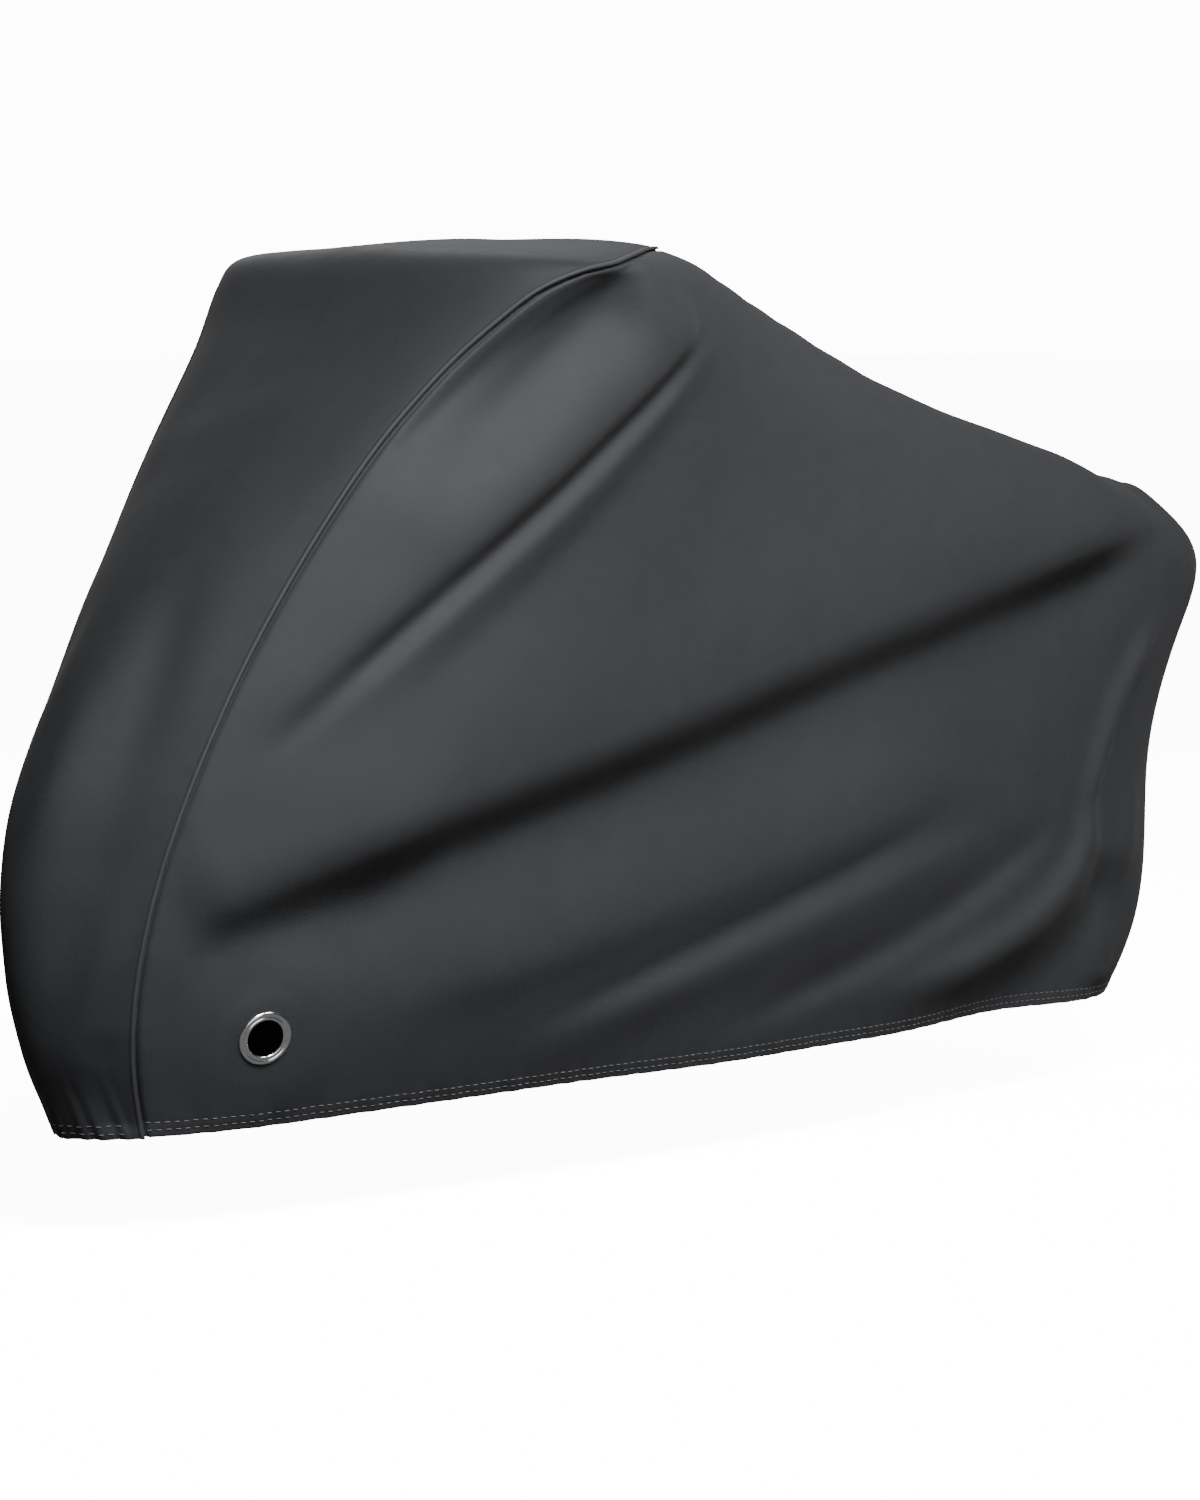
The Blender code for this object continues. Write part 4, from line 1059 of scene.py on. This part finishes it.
def metal_material(name):
    """Bright plating with fine turning marks, small scratches and dulled patches."""
    use = bpy.context.scene.cover_eyelet
    material, shader = blank_material(name)
    coords = wired(material, "ShaderNodeTexCoord")
    dull = noise(material, coords.outputs["Object"], scale=120.0, detail=6.0, roughness=0.6)
    stretch = wired(material, "ShaderNodeMapping", (("Scale", (60.0, 3000.0, 1.0)),),
                    (("Vector", coords.outputs["UV"]),)).outputs[0]
    marks = noise(material, stretch, scale=1.0, detail=3.0)
    tinted(material, shader, use.colour, scaled(material, dull, 0.86, 1.10))
    link = material.node_tree.links.new
    link(scaled(material, dull, use.roughness - 0.06, use.roughness + 0.14),
         shader.inputs["Roughness"])
    shader.inputs["Metallic"].default_value = 1.0
    link(bumped(material, marks, strength=0.12, distance=0.0001), shader.inputs["Normal"])
    return material


def floor_material(name):
    """Plain pale floor. The camera sees it bright, with a faint shadow and the faintest
    unevenness, and the cloth gets little light back from it."""
    material, shader = blank_material(name)
    where = wired(material, "ShaderNodeTexCoord").outputs["Object"]
    tone = noise(material, where, scale=3.0, detail=4.0)
    tinted(material, shader, bpy.context.scene.cover_stage.floor_colour,
           scaled(material, tone, 0.98 * FLOOR_GAIN, 1.02 * FLOOR_GAIN))
    link = material.node_tree.links.new
    link(scaled(material, tone, 0.70, 0.80), shader.inputs["Roughness"])
    glow = wired(material, "ShaderNodeEmission", (("Strength", FLOOR_GLOW),))
    bright = wired(material, "ShaderNodeAddShader", (),
                   ((0, shader.outputs[0]), (1, glow.outputs[0])))
    dim = wired(material, "ShaderNodeBsdfDiffuse", (("Color", (FLOOR_BOUNCE,) * 3 + (1.0,)),))
    path = wired(material, "ShaderNodeLightPath")
    pick = wired(material, "ShaderNodeMixShader", (),
                 ((0, path.outputs["Is Camera Ray"]), (1, dim.outputs[0]),
                  (2, bright.outputs[0])))
    link(pick.outputs[0], material.node_tree.nodes["Material Output"].inputs["Surface"])
    return material


def dressed(item, material, node=None):
    """Piece given its material and the node whose place it takes."""
    item.data.materials.clear()
    item.data.materials.append(material)
    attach(item, "root")
    if node:
        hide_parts(node)
    return item


# ---- operators ----
class COVER_OT_panels(bpy.types.Operator):
    """Make the fine sheets of the hood panel and of the two side panels"""
    bl_idname = "cover.panels"
    bl_label = "Cloth panels"

    def execute(self, context):
        use = cloth()
        # the hood's darker colour is painted shade over the sides' cloth
        hood = dressed(make_hood(), cloth_material("hood cloth painted darker", use.hood_shaded_colour),
                       "hood_panel")
        if not hood.data.polygons:
            raise RuntimeError("the hood panel has no faces")
        charcoal = cloth_material("side cloth", use.side_colour)
        for side in ("left", "right"):
            dressed(make_side(side), charcoal, "side_panel_" + side)
        return {"FINISHED"}


class COVER_OT_sewing(bpy.types.Operator):
    """Sew the two stitch rows round the hem of each sheet, which must be made first"""
    bl_idname = "cover.sewing"
    bl_label = "Hem stitching"

    def execute(self, context):
        thread = thread_material("thread", context.scene.cover_sewing.colour)
        for which in ("hood", "left", "right"):
            piece = dressed(make_stitches(which), thread)
            name = "hood_sheet" if which == "hood" else "side_sheet_" + which
            if name not in bpy.data.objects:
                raise RuntimeError("the sheet " + name + " is missing")
        return {"FINISHED"}


class COVER_OT_eyelets(bpy.types.Operator):
    """Turn the metal eyelet of each side"""
    bl_idname = "cover.eyelets"
    bl_label = "Eyelets"

    def execute(self, context):
        metal = metal_material("eyelet metal")
        for side in ("left", "right"):
            item = dressed(make_eyelet(side), metal, "eyelet_" + side)
            if not item.data.polygons:
                raise RuntimeError("the eyelet has no faces")
        return {"FINISHED"}


class COVER_OT_stage(bpy.types.Operator):
    """Set the floor, the soft lights, the surround and the camera"""
    bl_idname = "cover.stage"
    bl_label = "Stage"

    def execute(self, context):
        use = context.scene.cover_stage
        corners = FLOOR_HALF * np.array(((-1, -1, 0), (1, -1, 0), (1, 1, 0), (-1, 1, 0)))
        corners[:, 2] = GROUND
        floor = new_piece("floor", corners + HOLD, np.array(((0, 1, 2, 3),)))
        floor.data.materials.append(floor_material("floor"))
        for row in LIGHTS:
            add_light(row, use.light)
        card = add_light(CARD[0], use.light)
        card.visible_diffuse = False
        context.scene.world = surround(use.surround, use.ambient)
        add_camera(use.lens)
        return {"FINISHED"}


def surround(seen, ambient):
    """White surround that lights the scene less than it shows, so that folds keep depth."""
    world = bpy.data.worlds.new("surround")
    world.use_nodes = True
    back = world.node_tree.nodes["Background"]
    back.inputs["Color"].default_value = (1.0, 1.0, 1.0, 1.0)
    camera_ray = wired(world, "ShaderNodeLightPath").outputs["Is Camera Ray"]
    world.node_tree.links.new(scaled(world, camera_ray, ambient, seen), back.inputs["Strength"])
    return world


def add_light(row, strength):
    """Square soft box at a place, turned towards a point."""
    lamp = bpy.data.lights.new("soft box", "AREA")
    lamp.size = row["size"]
    lamp.energy = strength * row["power"]
    item = bpy.data.objects.new("soft box", lamp)
    item.location = (row["x"], row["y"], row["z"])
    aim = Vector((row["at_x"], row["at_y"], row["at_z"])) - item.location
    item.rotation_euler = aim.to_track_quat("-Z", "Y").to_euler()
    bpy.context.scene.collection.objects.link(item)
    return item


def add_camera(lens):
    """Camera at the place it was solved to, looking slightly down."""
    lenses = bpy.data.cameras.new("camera")
    lenses.lens = lens * 1000.0
    lenses.sensor_width = 36.0
    lenses.sensor_fit = "AUTO"
    lenses.dof.use_dof = False
    lenses.clip_end = 200.0
    item = bpy.data.objects.new("camera", lenses)
    item.location = CAMERA_AT
    turn, down = math.radians(CAMERA_TURN), math.radians(CAMERA_DOWN)
    level = math.cos(down)
    look = Vector((math.cos(turn) * level, math.sin(turn) * level, -math.sin(down)))
    item.rotation_euler = look.to_track_quat("-Z", "Y").to_euler()
    bpy.context.scene.collection.objects.link(item)
    bpy.context.scene.camera = item


class COVER_PT_panel(bpy.types.Panel):
    """Settings and steps of the cover"""
    bl_label = "Fitted cover"
    bl_idname = "COVER_PT_panel"
    bl_space_type = "VIEW_3D"
    bl_region_type = "UI"
    bl_category = "Cover"

    def draw(self, context):
        scene = context.scene
        for group in (scene.cover_cloth, scene.cover_sewing, scene.cover_eyelet,
                      scene.cover_stage):
            box = self.layout.box()
            for key in group.__annotations__:
                box.prop(group, key)
        for operator in OPERATORS:
            self.layout.operator(operator.bl_idname)


OPERATORS = (COVER_OT_panels, COVER_OT_sewing, COVER_OT_eyelets, COVER_OT_stage)
GROUPS = (("cover_cloth", CoverClothSettings), ("cover_sewing", CoverSewingSettings),
          ("cover_eyelet", CoverEyeletSettings), ("cover_stage", CoverStageSettings))


def register():
    """Register the settings, the operators and the panel."""
    for name, group in GROUPS:
        bpy.utils.register_class(group)
        setattr(bpy.types.Scene, name, PointerProperty(type=group))
    for item in OPERATORS + (COVER_PT_panel,):
        bpy.utils.register_class(item)


def unregister():
    """Take away what register made."""
    for item in OPERATORS + (COVER_PT_panel,):
        bpy.utils.unregister_class(item)
    for name, group in GROUPS:
        delattr(bpy.types.Scene, name)
        bpy.utils.unregister_class(group)


def main():
    """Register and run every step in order."""
    register()
    bpy.ops.cover.panels()
    bpy.ops.cover.sewing()
    bpy.ops.cover.eyelets()
    bpy.ops.cover.stage()


if __name__ == "__main__":
    main()
